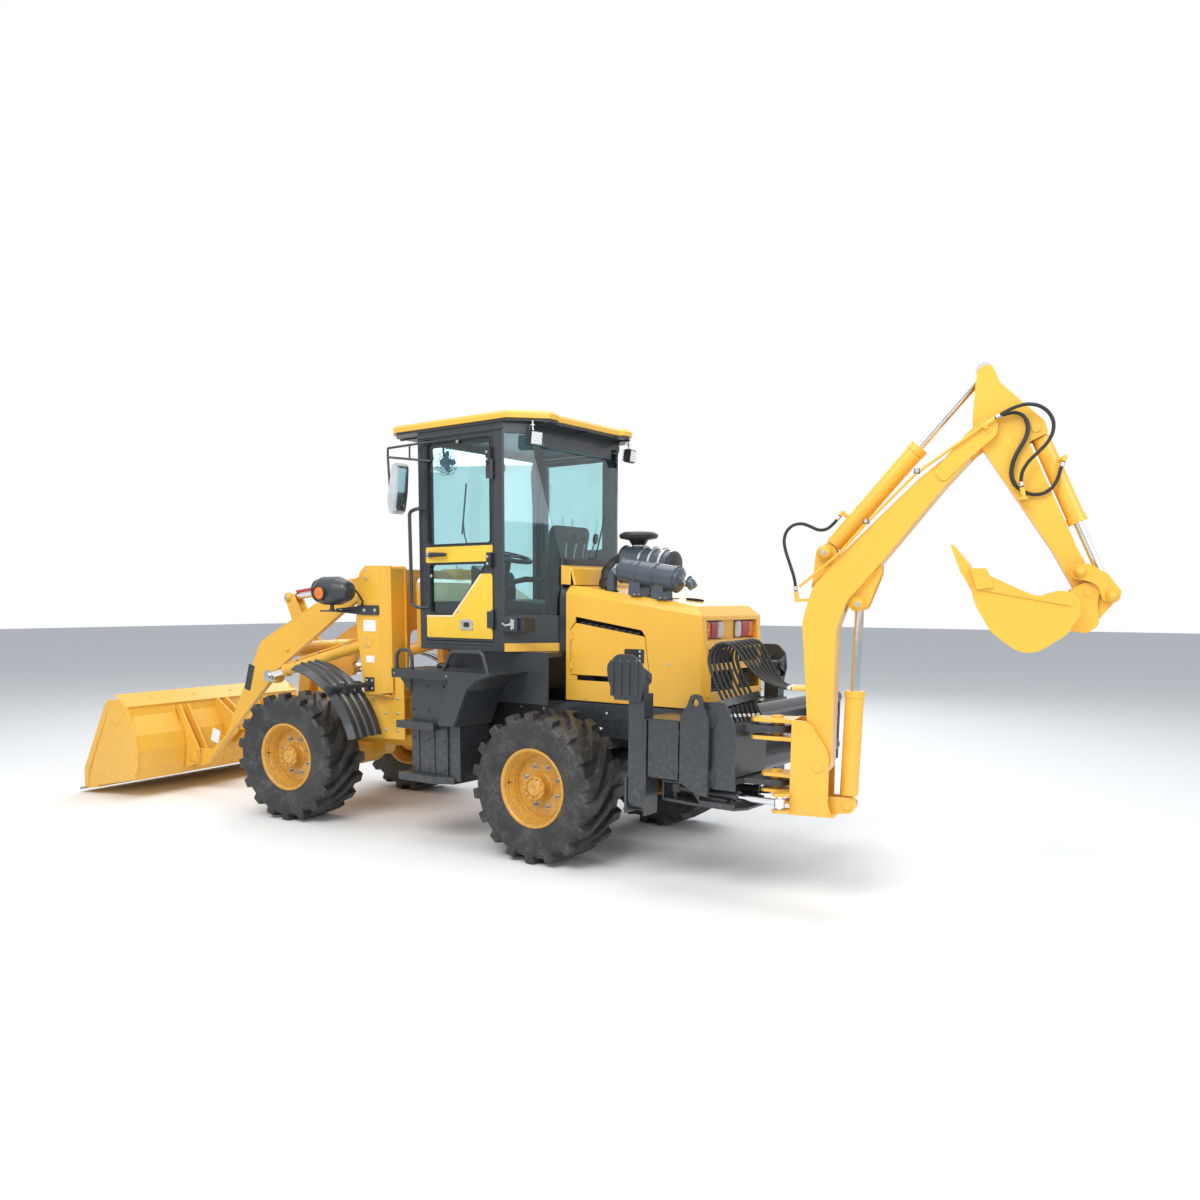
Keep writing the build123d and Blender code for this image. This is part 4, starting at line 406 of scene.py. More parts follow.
# ---------------------------------------------------------------- mesh helpers, in millimetres
class Piece:
    """One piece on one body, gathered from simple closed solids, each with its own finish."""

    def __init__(self, name, body, place=REAR, slot=None):
        self.name, self.body, self.place, self.slot = name, body, place, slot
        self.points, self.faces, self.finish_of, self.smooth, self.finishes = [], [], [], [], []

    def add(self, points, faces, finish, smooth=False):
        if finish not in self.finishes:
            self.finishes.append(finish)
        start = len(self.points)
        self.points += [Vector(point) * MM for point in points]
        self.faces += [tuple(start + corner for corner in face) for face in faces]
        self.finish_of += [self.finishes.index(finish)] * len(faces)
        self.smooth += [smooth] * len(faces)

    def add_mesh(self, mesh, finish, smooth=False):
        """Takes over a mesh that is already in metres."""
        self.add([v.co / MM for v in mesh.vertices], [tuple(f.vertices) for f in mesh.polygons],
                 finish, smooth)

    def mirror(self):
        """Adds the same again on the other side of the Y = 0 plane."""
        count = len(self.points)
        self.points += [Vector((p.x, -p.y, p.z)) for p in self.points]
        self.faces += [tuple(count + corner for corner in reversed(face))
                       for face in list(self.faces)]
        self.finish_of += list(self.finish_of)
        self.smooth += list(self.smooth)

    def done(self, *replaced):
        mesh = bpy.data.meshes.new(self.name)
        mesh.from_pydata([self.place @ point for point in self.points], [], self.faces)
        for finish in self.finishes:
            mesh.materials.append(finish)
        mesh.polygons.foreach_set("material_index", self.finish_of)
        mesh.polygons.foreach_set("use_smooth", self.smooth)
        tidy = bmesh.new()
        tidy.from_mesh(mesh)
        bmesh.ops.recalc_face_normals(tidy, faces=tidy.faces)
        tidy.to_mesh(mesh)
        tidy.free()
        obj = bpy.data.objects.new(self.name, mesh)
        scene.collection.objects.link(obj)
        if isinstance(self.body, tuple):
            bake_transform(obj)
        else:
            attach(obj, self.body)
        if replaced:
            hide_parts(*replaced)
        return obj


def solid_of(build):
    """The points and faces of what build draws in an empty bmesh."""
    work = bmesh.new()
    build(work)
    work.verts.ensure_lookup_table()
    points = [v.co.copy() for v in work.verts]
    faces = [tuple(v.index for v in f.verts) for f in work.faces]
    work.free()
    return points, faces


def block(piece, x, y, z, finish, soft=2.0, turn=None):
    """A box between two corners with soft edges. turn is a matrix about its middle."""
    middle = Vector(((x[0] + x[1]) / 2, (y[0] + y[1]) / 2, (z[0] + z[1]) / 2))
    size = (abs(x[1] - x[0]), abs(y[1] - y[0]), abs(z[1] - z[0]))

    def build(work):
        bmesh.ops.create_cube(work, size=1)
        bmesh.ops.scale(work, vec=size, verts=work.verts)
        if soft:
            bmesh.ops.bevel(work, geom=work.edges[:], offset=min(soft, min(size) * 0.4),
                            segments=2, affect="EDGES")

    points, faces = solid_of(build)
    spin = turn or Matrix.Identity(3)
    piece.add([middle + spin @ p for p in points], faces, finish)


def plate(piece, outline, span, finish, facing="Y", soft=1.5):
    """An outline drawn in the plane that faces X, Y or Z, as a plate over span along that axis."""
    def corner(a, b, t):
        return {"X": (t, a, b), "Y": (a, t, b), "Z": (a, b, t)}[facing]

    def build(work):
        lower = [work.verts.new(corner(*p, span[0])) for p in outline]
        upper = [work.verts.new(corner(*p, span[1])) for p in outline]
        caps = [work.faces.new(lower), work.faces.new(upper)]
        for i in range(len(outline)):
            j = (i + 1) % len(outline)
            work.faces.new((lower[i], lower[j], upper[j], upper[i]))
        if soft:
            edges = {edge for cap in caps for edge in cap.edges}
            bmesh.ops.bevel(work, geom=list(edges), offset=soft, segments=1, affect="EDGES",
                            clamp_overlap=True)

    piece.add(*solid_of(build), finish)


def rounded(outline, radius, steps=4):
    """An outline with its corners rounded. radius is one number, or one for each corner."""
    radii = radius if isinstance(radius, (list, tuple)) else [radius] * len(outline)
    result = []
    count = len(outline)
    for i, (here, r) in enumerate(zip(outline, radii)):
        here = Vector(here)
        before, after = Vector(outline[i - 1]) - here, Vector(outline[(i + 1) % count]) - here
        turn = before.angle(after)
        reach = min(r / tan(turn / 2), before.length * 0.48, after.length * 0.48)
        if r < 0.1 or reach < 0.1:
            result.append(tuple(here))
            continue
        start, end = here + before.normalized() * reach, here + after.normalized() * reach
        for k in range(steps + 1):
            t = k / steps
            result.append(tuple((1 - t) ** 2 * start + 2 * t * (1 - t) * here + t * t * end))
    return result


def round_path(points, bend, steps=5):
    """An open path of straight runs with its corners rounded."""
    points = [Vector(p) for p in points]
    path = [points[0]]
    for before, here, after in zip(points, points[1:], points[2:]):
        first, second = before - here, after - here
        turn = first.angle(second)
        if turn > pi - 0.02:
            path.append(here)
            continue
        reach = min(bend / tan(turn / 2), first.length * 0.49, second.length * 0.49)
        start, end = here + first.normalized() * reach, here + second.normalized() * reach
        for k in range(steps + 1):
            t = k / steps
            path.append((1 - t) ** 2 * start + 2 * t * (1 - t) * here + t * t * end)
    path.append(points[-1])
    return path


def tube(piece, points, radius, finish, bend=0, sides=12):
    """A round tube along a path, closed at its ends."""
    path = round_path(points, bend) if bend else [Vector(p) for p in points]
    rings, faces = [], []
    across = None
    for i, here in enumerate(path):
        along = (path[min(i + 1, len(path) - 1)] - path[max(i - 1, 0)]).normalized()
        if across is None:
            across = along.orthogonal().normalized()
        across = (across - along * across.dot(along)).normalized()
        up = along.cross(across)
        wide = radius
        if isinstance(radius, (list, tuple)):
            at = i * (len(radius) - 1) / max(1, len(path) - 1)
            low = min(int(at), len(radius) - 2)
            wide = radius[low] + (radius[low + 1] - radius[low]) * (at - low)
        rings.append([here + (across * cos(2 * pi * k / sides) + up * sin(2 * pi * k / sides)) * wide
                      for k in range(sides)])
    for i in range(len(rings) - 1):
        for k in range(sides):
            a, b = i * sides + k, i * sides + (k + 1) % sides
            faces.append((a, b, b + sides, a + sides))
    piece.add([p for ring in rings for p in ring], faces, finish, True)
    for ring in (rings[0], rings[-1]):
        piece.add(ring, [tuple(range(sides))], finish)


def turned(piece, profile, centre, axis, finish, sides=32, smooth=True, closed=False):
    """A profile of (radius, distance along the axis) turned about an axis through centre. A closed
    profile makes a ring. An open one starts and ends on the axis or is capped there."""
    axis = Vector(axis).normalized()
    across = axis.orthogonal().normalized()
    up = axis.cross(across)
    centre = Vector(centre)
    points, faces = [], []
    for radius, along in profile:
        for k in range(sides):
            a = 2 * pi * k / sides
            points.append(centre + axis * along + (across * cos(a) + up * sin(a)) * radius)
    rows = len(profile)
    for i in range(rows if closed else rows - 1):
        j = (i + 1) % rows
        for k in range(sides):
            n = (k + 1) % sides
            faces.append((i * sides + k, i * sides + n, j * sides + n, j * sides + k))
    if not closed:
        faces.append(tuple(range(sides)))
        faces.append(tuple((rows - 1) * sides + k for k in range(sides)))
    piece.add(points, faces, finish, smooth)


def copies_tree():
    """Puts a shape at each point of a mesh, turned as the point says."""
    tree = bpy.data.node_groups.new("copies_at_points", "GeometryNodeTree")
    face = tree.interface
    face.new_socket("Points", in_out="INPUT", socket_type="NodeSocketGeometry")
    face.new_socket("Shape", in_out="INPUT", socket_type="NodeSocketObject")
    face.new_socket("Finish", in_out="INPUT", socket_type="NodeSocketMaterial")
    face.new_socket("Copies", in_out="OUTPUT", socket_type="NodeSocketGeometry")
    new, link = tree.nodes.new, tree.links.new
    given, out = new("NodeGroupInput"), new("NodeGroupOutput")
    to_points, shape = new("GeometryNodeMeshToPoints"), new("GeometryNodeObjectInfo")
    put, real, paint_it = new("GeometryNodeInstanceOnPoints"), new("GeometryNodeRealizeInstances"), new("GeometryNodeSetMaterial")
    turn = new("GeometryNodeInputNamedAttribute")
    turn.data_type = "FLOAT_VECTOR"
    turn.inputs["Name"].default_value = "turn"
    link(given.outputs["Points"], to_points.inputs["Mesh"])
    link(given.outputs["Shape"], shape.inputs["Object"])
    link(to_points.outputs["Points"], put.inputs["Points"])
    link(shape.outputs["Geometry"], put.inputs["Instance"])
    link(turn.outputs["Attribute"], put.inputs["Rotation"])
    link(put.outputs["Instances"], real.inputs["Geometry"])
    link(real.outputs["Geometry"], paint_it.inputs["Geometry"])
    link(given.outputs["Finish"], paint_it.inputs["Material"])
    link(paint_it.outputs["Geometry"], out.inputs["Copies"])
    return tree


COPIES = copies_tree()


def copies(piece, shape, places, finish, smooth=False):
    """Adds the shape object's mesh at each (point, euler angles), made by the node tree."""
    carrier_mesh = bpy.data.meshes.new("places")
    carrier_mesh.from_pydata([Vector(point) * MM for point, turn in places], [], [])
    turns = carrier_mesh.attributes.new("turn", "FLOAT_VECTOR", "POINT")
    turns.data.foreach_set("vector", [angle for point, turn in places for angle in turn])
    carrier = bpy.data.objects.new("places", carrier_mesh)
    scene.collection.objects.link(carrier)
    scene.collection.objects.link(shape)
    modifier = carrier.modifiers.new("copies", "NODES")
    modifier.node_group = COPIES
    names = {item.name: item.identifier
             for item in COPIES.interface.items_tree if item.in_out == "INPUT"}
    modifier[names["Shape"]] = shape
    modifier[names["Finish"]] = finish
    bpy.context.view_layer.update()
    mesh = applied(carrier)
    piece.add_mesh(mesh, finish, smooth)
    bpy.data.objects.remove(carrier)
    scene.collection.objects.unlink(shape)
    bpy.data.meshes.remove(mesh)


def shape_object(name, build):
    """An object that isn't in the scene, for the node tree to copy. build draws it in a Piece."""
    draft = Piece(name, None)
    build(draft)
    mesh = bpy.data.meshes.new(name)
    mesh.from_pydata(draft.points, [], draft.faces)
    tidy = bmesh.new()
    tidy.from_mesh(mesh)
    bmesh.ops.remove_doubles(tidy, verts=tidy.verts, dist=1e-6)
    bmesh.ops.recalc_face_normals(tidy, faces=tidy.faces)
    tidy.to_mesh(mesh)
    tidy.free()
    return bpy.data.objects.new(name, mesh)


def hex_bolt(size):
    """A hexagon head on its washer, pointing up Z. size is the width across the corners."""
    def build(piece):
        turned(piece, [(size * 0.72, 0), (size * 0.72, size * 0.1)], (0, 0, 0), (0, 0, 1), ZINC,
               12, False)
        turned(piece, [(size * 0.5, size * 0.1), (size * 0.5, size * 0.42),
                       (size * 0.42, size * 0.5)],
               (0, 0, 0), (0, 0, 1), ZINC, 6, False)
    return shape_object("hex_bolt", build)


def facing(direction):
    """Euler angles that turn Z to a direction."""
    return tuple(Vector(direction).to_track_quat("Z", "X").to_euler())


def bolts(piece, points, direction, size, finish):
    """Bolts at the points, all pointing one way."""
    copies(piece, hex_bolt(size), [(point, facing(direction)) for point in points], finish)


def keeper(piece, x, z, y, side, finish, size=(34, 92), tilt=0.0):
    """An oval keeper plate with two bolts over the end of a pin. side is the way it faces."""
    half, length = size[0] / 2, size[1] / 2
    spin = Matrix.Rotation(tilt, 2)
    shape = rounded([(-half, -length), (half, -length), (half, length), (-half, length)],
                    half * 0.98, 5)
    shape = [tuple(spin @ Vector(p) + Vector((x, z))) for p in shape]
    plate(piece, shape, sorted((y, y + side * 7)), finish)
    for end in (-1, 1):
        offset = spin @ Vector((0, end * (length - half)))
        bolts(piece, [(x + offset.x, y + side * 7, z + offset.y)], (0, side, 0), 15, ZINC)
# ---------------------------------------------------------------- wheels
TYRE_R, TRACK, WHEELBASE = 528, 785, 2620
LUGS = 18


def tread_lug():
    """One lug: a block at the shoulder that turns slantwise towards the middle of the tread."""
    stations = ((207, 0.0, 30, 502, 452), (199, 0.0, 35, 522, 452), (120, 1.0, 36, 528, 478),
                (96, 2.5, 34, 528, 484),
                (30, 12.0, 30, 528, 486), (-6, 15.5, 25, 527, 486))

    def build(piece):
        points, faces = [], []
        for y, turn, half, top, foot in stations:
            for radius, wide in ((foot, half + 9), (top, half)):
                for side in (-1, 1):
                    a = radians(turn) + side * wide / radius
                    points.append((radius * sin(a), y, radius * cos(a)))
        for i in range(len(stations) - 1):
            a, b = 4 * i, 4 * i + 4
            faces += [(a + 2, a + 3, b + 3, b + 2), (a, a + 2, b + 2, b),
                      (a + 1, b + 1, b + 3, a + 3),
                      (a, b, b + 1, a + 1)]
        faces += [(0, 1, 3, 2), (len(points) - 4, len(points) - 2, len(points) - 1,
                                 len(points) - 3)]
        piece.add(points, faces, TYRE)
    return shape_object("tread_lug", build)


def wheel(name, x, side, place):
    body = "wheel_" + name
    piece = Piece("tyre_and_rim_" + name, body,
                  place @ Matrix.Translation((x * MM, side * TRACK * MM, TYRE_R * MM))
                  @ Matrix.Rotation(0 if side > 0 else pi, 4, "Z"), "tyre_rubber")
    half_profile = [(270, 150), (276, 168), (286, 176), (300, 180), (318, 190), (345, 200),
                    (385, 206), (428, 205),
                    (446, 206), (450, 205), (454, 207), (463, 204), (478, 192), (486, 172),
                    (489, 140), (491, 70)]
    profile = [(r, -w) for r, w in half_profile] + [(r, w) for r, w in reversed(half_profile)]
    turned(piece, profile + [(262, 120), (262, -120)], (0, 0, 0), (0, 1, 0), TYRE, 96, True, True)
    lug = tread_lug()
    right = [((0, 0, 0), (0, 2 * pi * i / LUGS, 0)) for i in range(LUGS)]
    left = [((0, 0, 0), (0, 2 * pi * (i + 0.5) / LUGS, pi)) for i in range(LUGS)]
    copies(piece, lug, right + left, TYRE)
    # rim: the lips, the beads' seats and the well
    rim = [(279, 173), (279, 164), (266, 160), (262, 150), (258, 120), (236, 104), (236, -104),
           (258, -120), (262, -150),
           (266, -160), (279, -164), (279, -173), (272, -177), (262, -174), (254, -166),
           (250, -152), (246, -124),
           (222, -104), (222, 104), (246, 124), (250, 152), (254, 166), (262, 174), (272, 177)]
    turned(piece, rim, (0, 0, 0), (0, 1, 0), RIM_YELLOW, 64, True, True)
    turned(piece, [(250, 133), (246, 126), (243, 133), (246, 139)], (0, 0, 0), (0, 1, 0),
           RIM_YELLOW, 64, True, True)
    turned(piece, [(228, 34), (228, 48), (212, 52), (0.5, 52)], (0, 0, 0), (0, 1, 0), RIM_YELLOW,
           48, False)
    turned(piece, [(228, 58), (222, 50), (216, 52), (222, 62)], (0, 0, 0), (0, 1, 0), RIM_YELLOW,
           48, True, True)
    # hub and its cap
    hub = [(104, 50), (104, 56), (88, 62), (84, 70), (82, 120), (86, 126), (86, 136), (80, 140),
           (58, 140), (56, 147),
           (50, 150), (10, 150), (8, 147), (0.5, 147)]
    turned(piece, hub, (0, 0, 0), (0, 1, 0), RIM_YELLOW, 40, True)

    def cap_bolt(draft):
        turned(draft, [(12, 0), (12, 10), (9, 14), (0.5, 15)], (0, 0, 0), (0, 0, 1), RIM_YELLOW,
               10, False)
    ring = [((76 * cos(2 * pi * i / 10), 139, 76 * sin(2 * pi * i / 10)),
             facing((0, 1, 0))) for i in range(10)]
    copies(piece, shape_object("cap_bolt", cap_bolt), ring, RIM_YELLOW)
    nuts = [((146 * cos(2 * pi * (i + 0.5) / 8), 52, 146 * sin(2 * pi * (i + 0.5) / 8)),
             facing((0, 1, 0)))
            for i in range(8)]

    def washer(draft):
        turned(draft, [(19, 0), (19, 4)], (0, 0, 0), (0, 0, 1), ZINC, 16, False)

    def nut(draft):
        turned(draft, [(13, 4), (13, 20), (10, 23)], (0, 0, 0), (0, 0, 1), ZINC, 6, False)
        turned(draft, [(7, 20), (7, 30)], (0, 0, 0), (0, 0, 1), ZINC, 8, False)
    copies(piece, shape_object("wheel_washer", washer), nuts, ZINC)
    copies(piece, shape_object("wheel_nut", nut), nuts, STEEL)
    # the valve
    tube(piece, [(232, 96, 12), (240, 132, 12), (236, 150, 12)], 4, RUBBER, 8, 8)
    piece.done(body)


for name, x, side, place in (("front_left", -WHEELBASE, -1, FRONT),
                             ("front_right", -WHEELBASE, 1, FRONT),
                             ("rear_left", 0, -1, REAR), ("rear_right", 0, 1, REAR)):
    wheel(name, x, side, place)
# ---------------------------------------------------------------- cab
CAB_SIDE = -712


def cab_door_fittings(side, name):
    """What is on a door: sheet panels in a brighter copy of the yellow that paints light on them, a pale strip
    of painted highlight, seals, handle, lock, hinges and glass retainers.
    """
    piece = Piece("door_panels_" + name, "cab_door_" + name, REAR if side < 0 else MIRROR,
                  "yellow_paint")
    y = CAB_SIDE
    # the door sheets take the brighter copy of the yellow, which paints light on them
    plate(piece, rounded([(-1224, 2088), (-554, 2088), (-554, 2202), (-1224, 2202)], 6),
          (y - 7, y + 1), DOOR_LIT_YELLOW)
    low = [(-1224, 1530), (-558, 1530), (-558, 2000), (-672, 2000), (-955, 1697), (-1224, 1697)]
    plate(piece, rounded(low, (8, 8, 26, 30, 36, 8)), (y - 7, y + 1), DOOR_LIT_YELLOW)
    # painted highlight: a pale strip along the bent top edge of the lower panel
    rim = [(-672, 2000), (-955, 1697), (-1224, 1697), (-1224, 1684), (-948, 1684), (-660, 1992)]
    plate(piece, rim, (y - 10, y - 6), DOOR_EDGE_HIGHLIGHT)
    for outline in (((-1209, 2219), (-573, 2219), (-573, 2965), (-1209, 2965)),
                    ((-1192, 1705), (-950, 1705), (-681, 2003), (-610, 2076), (-1192, 2076))):
        ring = [(x, y - 3, z) for x, z in rounded(outline, 30)]
        tube(piece, ring + ring[:2], 5, RUBBER, 0, 8)
    # handle
    turned(piece, [(26, 0), (26, 10), (20, 16)], (-1170, y - 6, 2146), (0, -1, 0), STEEL, 20, False)
    tube(piece, [(-1172, y - 24, 2146), (-1120, y - 44, 2146), (-1010, y - 44, 2144),
                 (-985, y - 36, 2143)],
         (15, 17, 15, 11), PLASTIC, 0, 12)
    tube(piece, [(-1196, y - 20, 2146), (-1166, y - 26, 2146)], 16, ZINC, 0, 12)
    # lock plate
    plate(piece, rounded([(-872, 1592), (-748, 1592), (-748, 1668), (-872, 1668)], 10),
          (y - 13, y - 6), ZINC)
    plate(piece, rounded([(-838, 1612), (-782, 1612), (-782, 1648), (-838, 1648)], 10),
          (y - 15, y - 12), PLASTIC)
    bolts(piece, [(x, y - 13, z) for x in (-862, -758) for z in (1602, 1658)], (0, -1, 0), 11, ZINC)
    # hinges
    for z in (2040, 2770):
        block(piece, (-600, -548), (y - 26, y - 2), (z, z + 110), PLASTIC, 4)
        bolts(piece, [(-585, y - 26, z + 30), (-585, y - 26, z + 80)], (0, -1, 0), 14, ZINC)
    for x, z in ((-905, 2052), (-905, 1726), (-1176, 1990), (-892, 2952)):
        turned(piece, [(13, 0), (13, 4), (9, 7)], (x, y - 1, z), (0, -1, 0), STEEL, 14, False)
    # the speckled border printed on the pane
    for x, z in (((-1204, -1160), (2222, 2960)), ((-1160, -600), (2925, 2960)),
                 ((-600, -578), (2222, 2960))):
        block(piece, x, (y + 17, y + 19), z, PRINT, 0)
    piece.done()


def cab_side_fittings(side, name):
    """What is on the cab's side: grab rail, mirror, quarter latch and trims."""
    piece = Piece("cab_fittings_" + name, "root", REAR if side < 0 else MIRROR, "black_plastic")
    y = CAB_SIDE
    tube(piece, [(-1245, y + 10, 2493), (-1262, y - 48, 2492), (-1342, y - 58, 2470),
                 (-1332, y - 58, 1775),
                 (-1262, y - 48, 1752), (-1225, y + 10, 1757)], 14, BLACK, 40)
    for x, z in ((-1245, 2493), (-1225, 1757)):
        turned(piece, [(26, 0), (26, 8)], (x, y + 1, z), (0, -1, 0), BLACK, 16, False)
    # mirror on its frame
    for foot, top in (((-1172, y + 6, 2837), (-1477, y - 140, 2874)),
                      ((-1169, y + 6, 2976), (-1475, y - 140, 2939))):
        tube(piece, [foot, top], 9, BLACK, 0, 10)
    tube(piece, [(-1475, y - 140, 2939), (-1477, y - 140, 2874), (-1456, y - 140, 2560)], 9, BLACK,
         30, 10)
    tube(piece, [(-1320, y - 65, 2957), (-1322, y - 65, 2856)], 7, BLACK, 0, 8)
    head = rounded([(-1410, 2455), (-1362, 2446), (-1330, 2600), (-1312, 2800), (-1336, 2826),
                    (-1372, 2790),
                    (-1420, 2560)], (26, 30, 60, 20, 20, 60, 60), 6)
    plate(piece, head, (y - 205, y - 85), PALE_PLASTIC, "Y", 22)
    mirror_face = [(x + 6, z) for x, z in head]
    plate(piece, [((x + 1366) * 0.86 - 1354, (z - 2636) * 0.9 + 2636) for x, z in mirror_face],
          (y - 196, y - 94), CHROME, "Y", 6)
    # quarter latch box with its T handle
    block(piece, (-447, -300), (y - 40, y + 30), (1588, 1692), BLACK, 3)
    block(piece, (-300, -262), (y - 12, y + 120), (1590, 1690), BLACK, 3)
    for z in (1602, 1676):
        turned(piece, [(11, 0), (11, 7), (6, 10)], (-462, y - 1, z), (0, -1, 0), ZINC, 12, False)
    plate(piece, rounded([(-352, 1596), (-318, 1612), (-318, 1668), (-352, 1686)], 10),
          (y - 48, y - 39), ZINC)
    tube(piece, [(-345, y - 50, 1640), (-390, y - 60, 1630), (-418, y - 58, 1648)], (11, 9, 6),
         ZINC, 14, 10)
    # gutter over the door and the trims of the posts
    block(piece, (-1296, -452), (y - 12, y + 2), (3000, 3016), BLACK, 2)
    block(piece, (-1226, -560), (y - 6, y + 2), (1484, 1496), BLACK, 2)
    bolts(piece, [(-1262, y - 0, z) for z in (1560, 2080, 2900)], (0, -1, 0), 12, BLACK)
    piece.done()


for side, name in ((-1, "left"), (1, "right")):
    cab_door_fittings(side, name)
    cab_side_fittings(side, name)


def work_lamp(piece, x, y, z, turn):
    """A square work lamp hanging from its bracket."""
    spin = Matrix.Rotation(turn, 3, "Z") @ Matrix.Rotation(radians(8), 3, "Y")
    middle = Vector((x, y, z))
    block(piece, (x - 30, x + 30), (y - 58, y + 58), (z - 50, z + 50), PLASTIC, 8, spin)
    at = middle + spin @ Vector((31, 0, 0))
    block(piece, (at.x - 2, at.x + 3), (at.y - 50, at.y + 50), (at.z - 42, at.z + 42), CLEAR_LENS,
          2, spin)
    for row in (-27, -9, 9, 27):
        for column in (-36, -18, 0, 18, 36):
            at = middle + spin @ Vector((34, column, row))
            turned(piece, [(7, 0), (5, 2), (1, 3)], at, spin @ Vector((1, 0, 0)), LED, 8, False)
    for fin in range(6):
        at = middle + spin @ Vector((-36, 0, -38 + fin * 15))
        block(piece, (at.x - 8, at.x + 8), (at.y - 50, at.y + 50), (at.z - 2, at.z + 2), PLASTIC,
              0, spin)
    tube(piece, [(x - 4, y, z + 48), (x - 10, y, z + 80), (x - 10, y, z + 120)], 7, ZINC, 10, 8)
    turned(piece, [(17, 0), (17, 9)], (x - 10, y, z + 84), (0, 0, 1), ZINC, 12, False)


def cab_outside():
    piece = Piece("cab_lamps_and_wipers", "root", REAR, "black_plastic")
    work_lamp(piece, -265, -600, 2932, radians(-8))
    work_lamp(piece, -265, 596, 2938, radians(8))
    for y in (-430, 430):
        work_lamp_front(piece, y)
    # windscreen wiper
    tube(piece, [(-1325, -120, 2150), (-1322, -190, 2330), (-1318, -205, 2420)], 6, PLASTIC, 20, 8)
    tube(piece, [(-1314, -225, 2330), (-1314, -170, 2730)], 7, RUBBER, 0, 8)
    turned(piece, [(24, 0), (24, 30), (14, 38)], (-1300, -120, 2150), (-1, 0, 0), PLASTIC, 16,
           False)
    # rear wiper
    tube(piece, [(-196, 0, 2105), (-190, 40, 2130), (-230, 210, 2440)], 6, PLASTIC, 20, 8)
    turned(piece, [(22, 0), (22, 24)], (-215, 0, 2105), (1, 0, 0), PLASTIC, 16, False)
    piece.done()


def work_lamp_front(piece, y):
    """A front work lamp under the visor of the roof."""
    work = Piece("draft", None)
    work_lamp(work, 0, 0, 0, 0)
    turn = Matrix.Rotation(pi, 3, "Z")
    piece_points = [turn @ (p / MM) + Vector((-1500, y, 2940)) for p in work.points]
    for index, finish in enumerate(work.finishes):
        faces = [f for f, k in zip(work.faces, work.finish_of) if k == index]
        piece.add(piece_points, faces, finish)


def roof_underside():
    """Dark ribs under the roof."""
    piece = Piece("roof_lining", "root", REAR, "black_plastic")
    for y in (-560, -280, 0, 280, 560):
        block(piece, (-1640, -1320), (y - 12, y + 12), (3040, 3049), BLACK, 2)
    for y in (-520, 0, 520):
        block(piece, (-330, -215), (y - 12, y + 12), (3040, 3049), BLACK, 2)
    piece.done()


cab_outside()


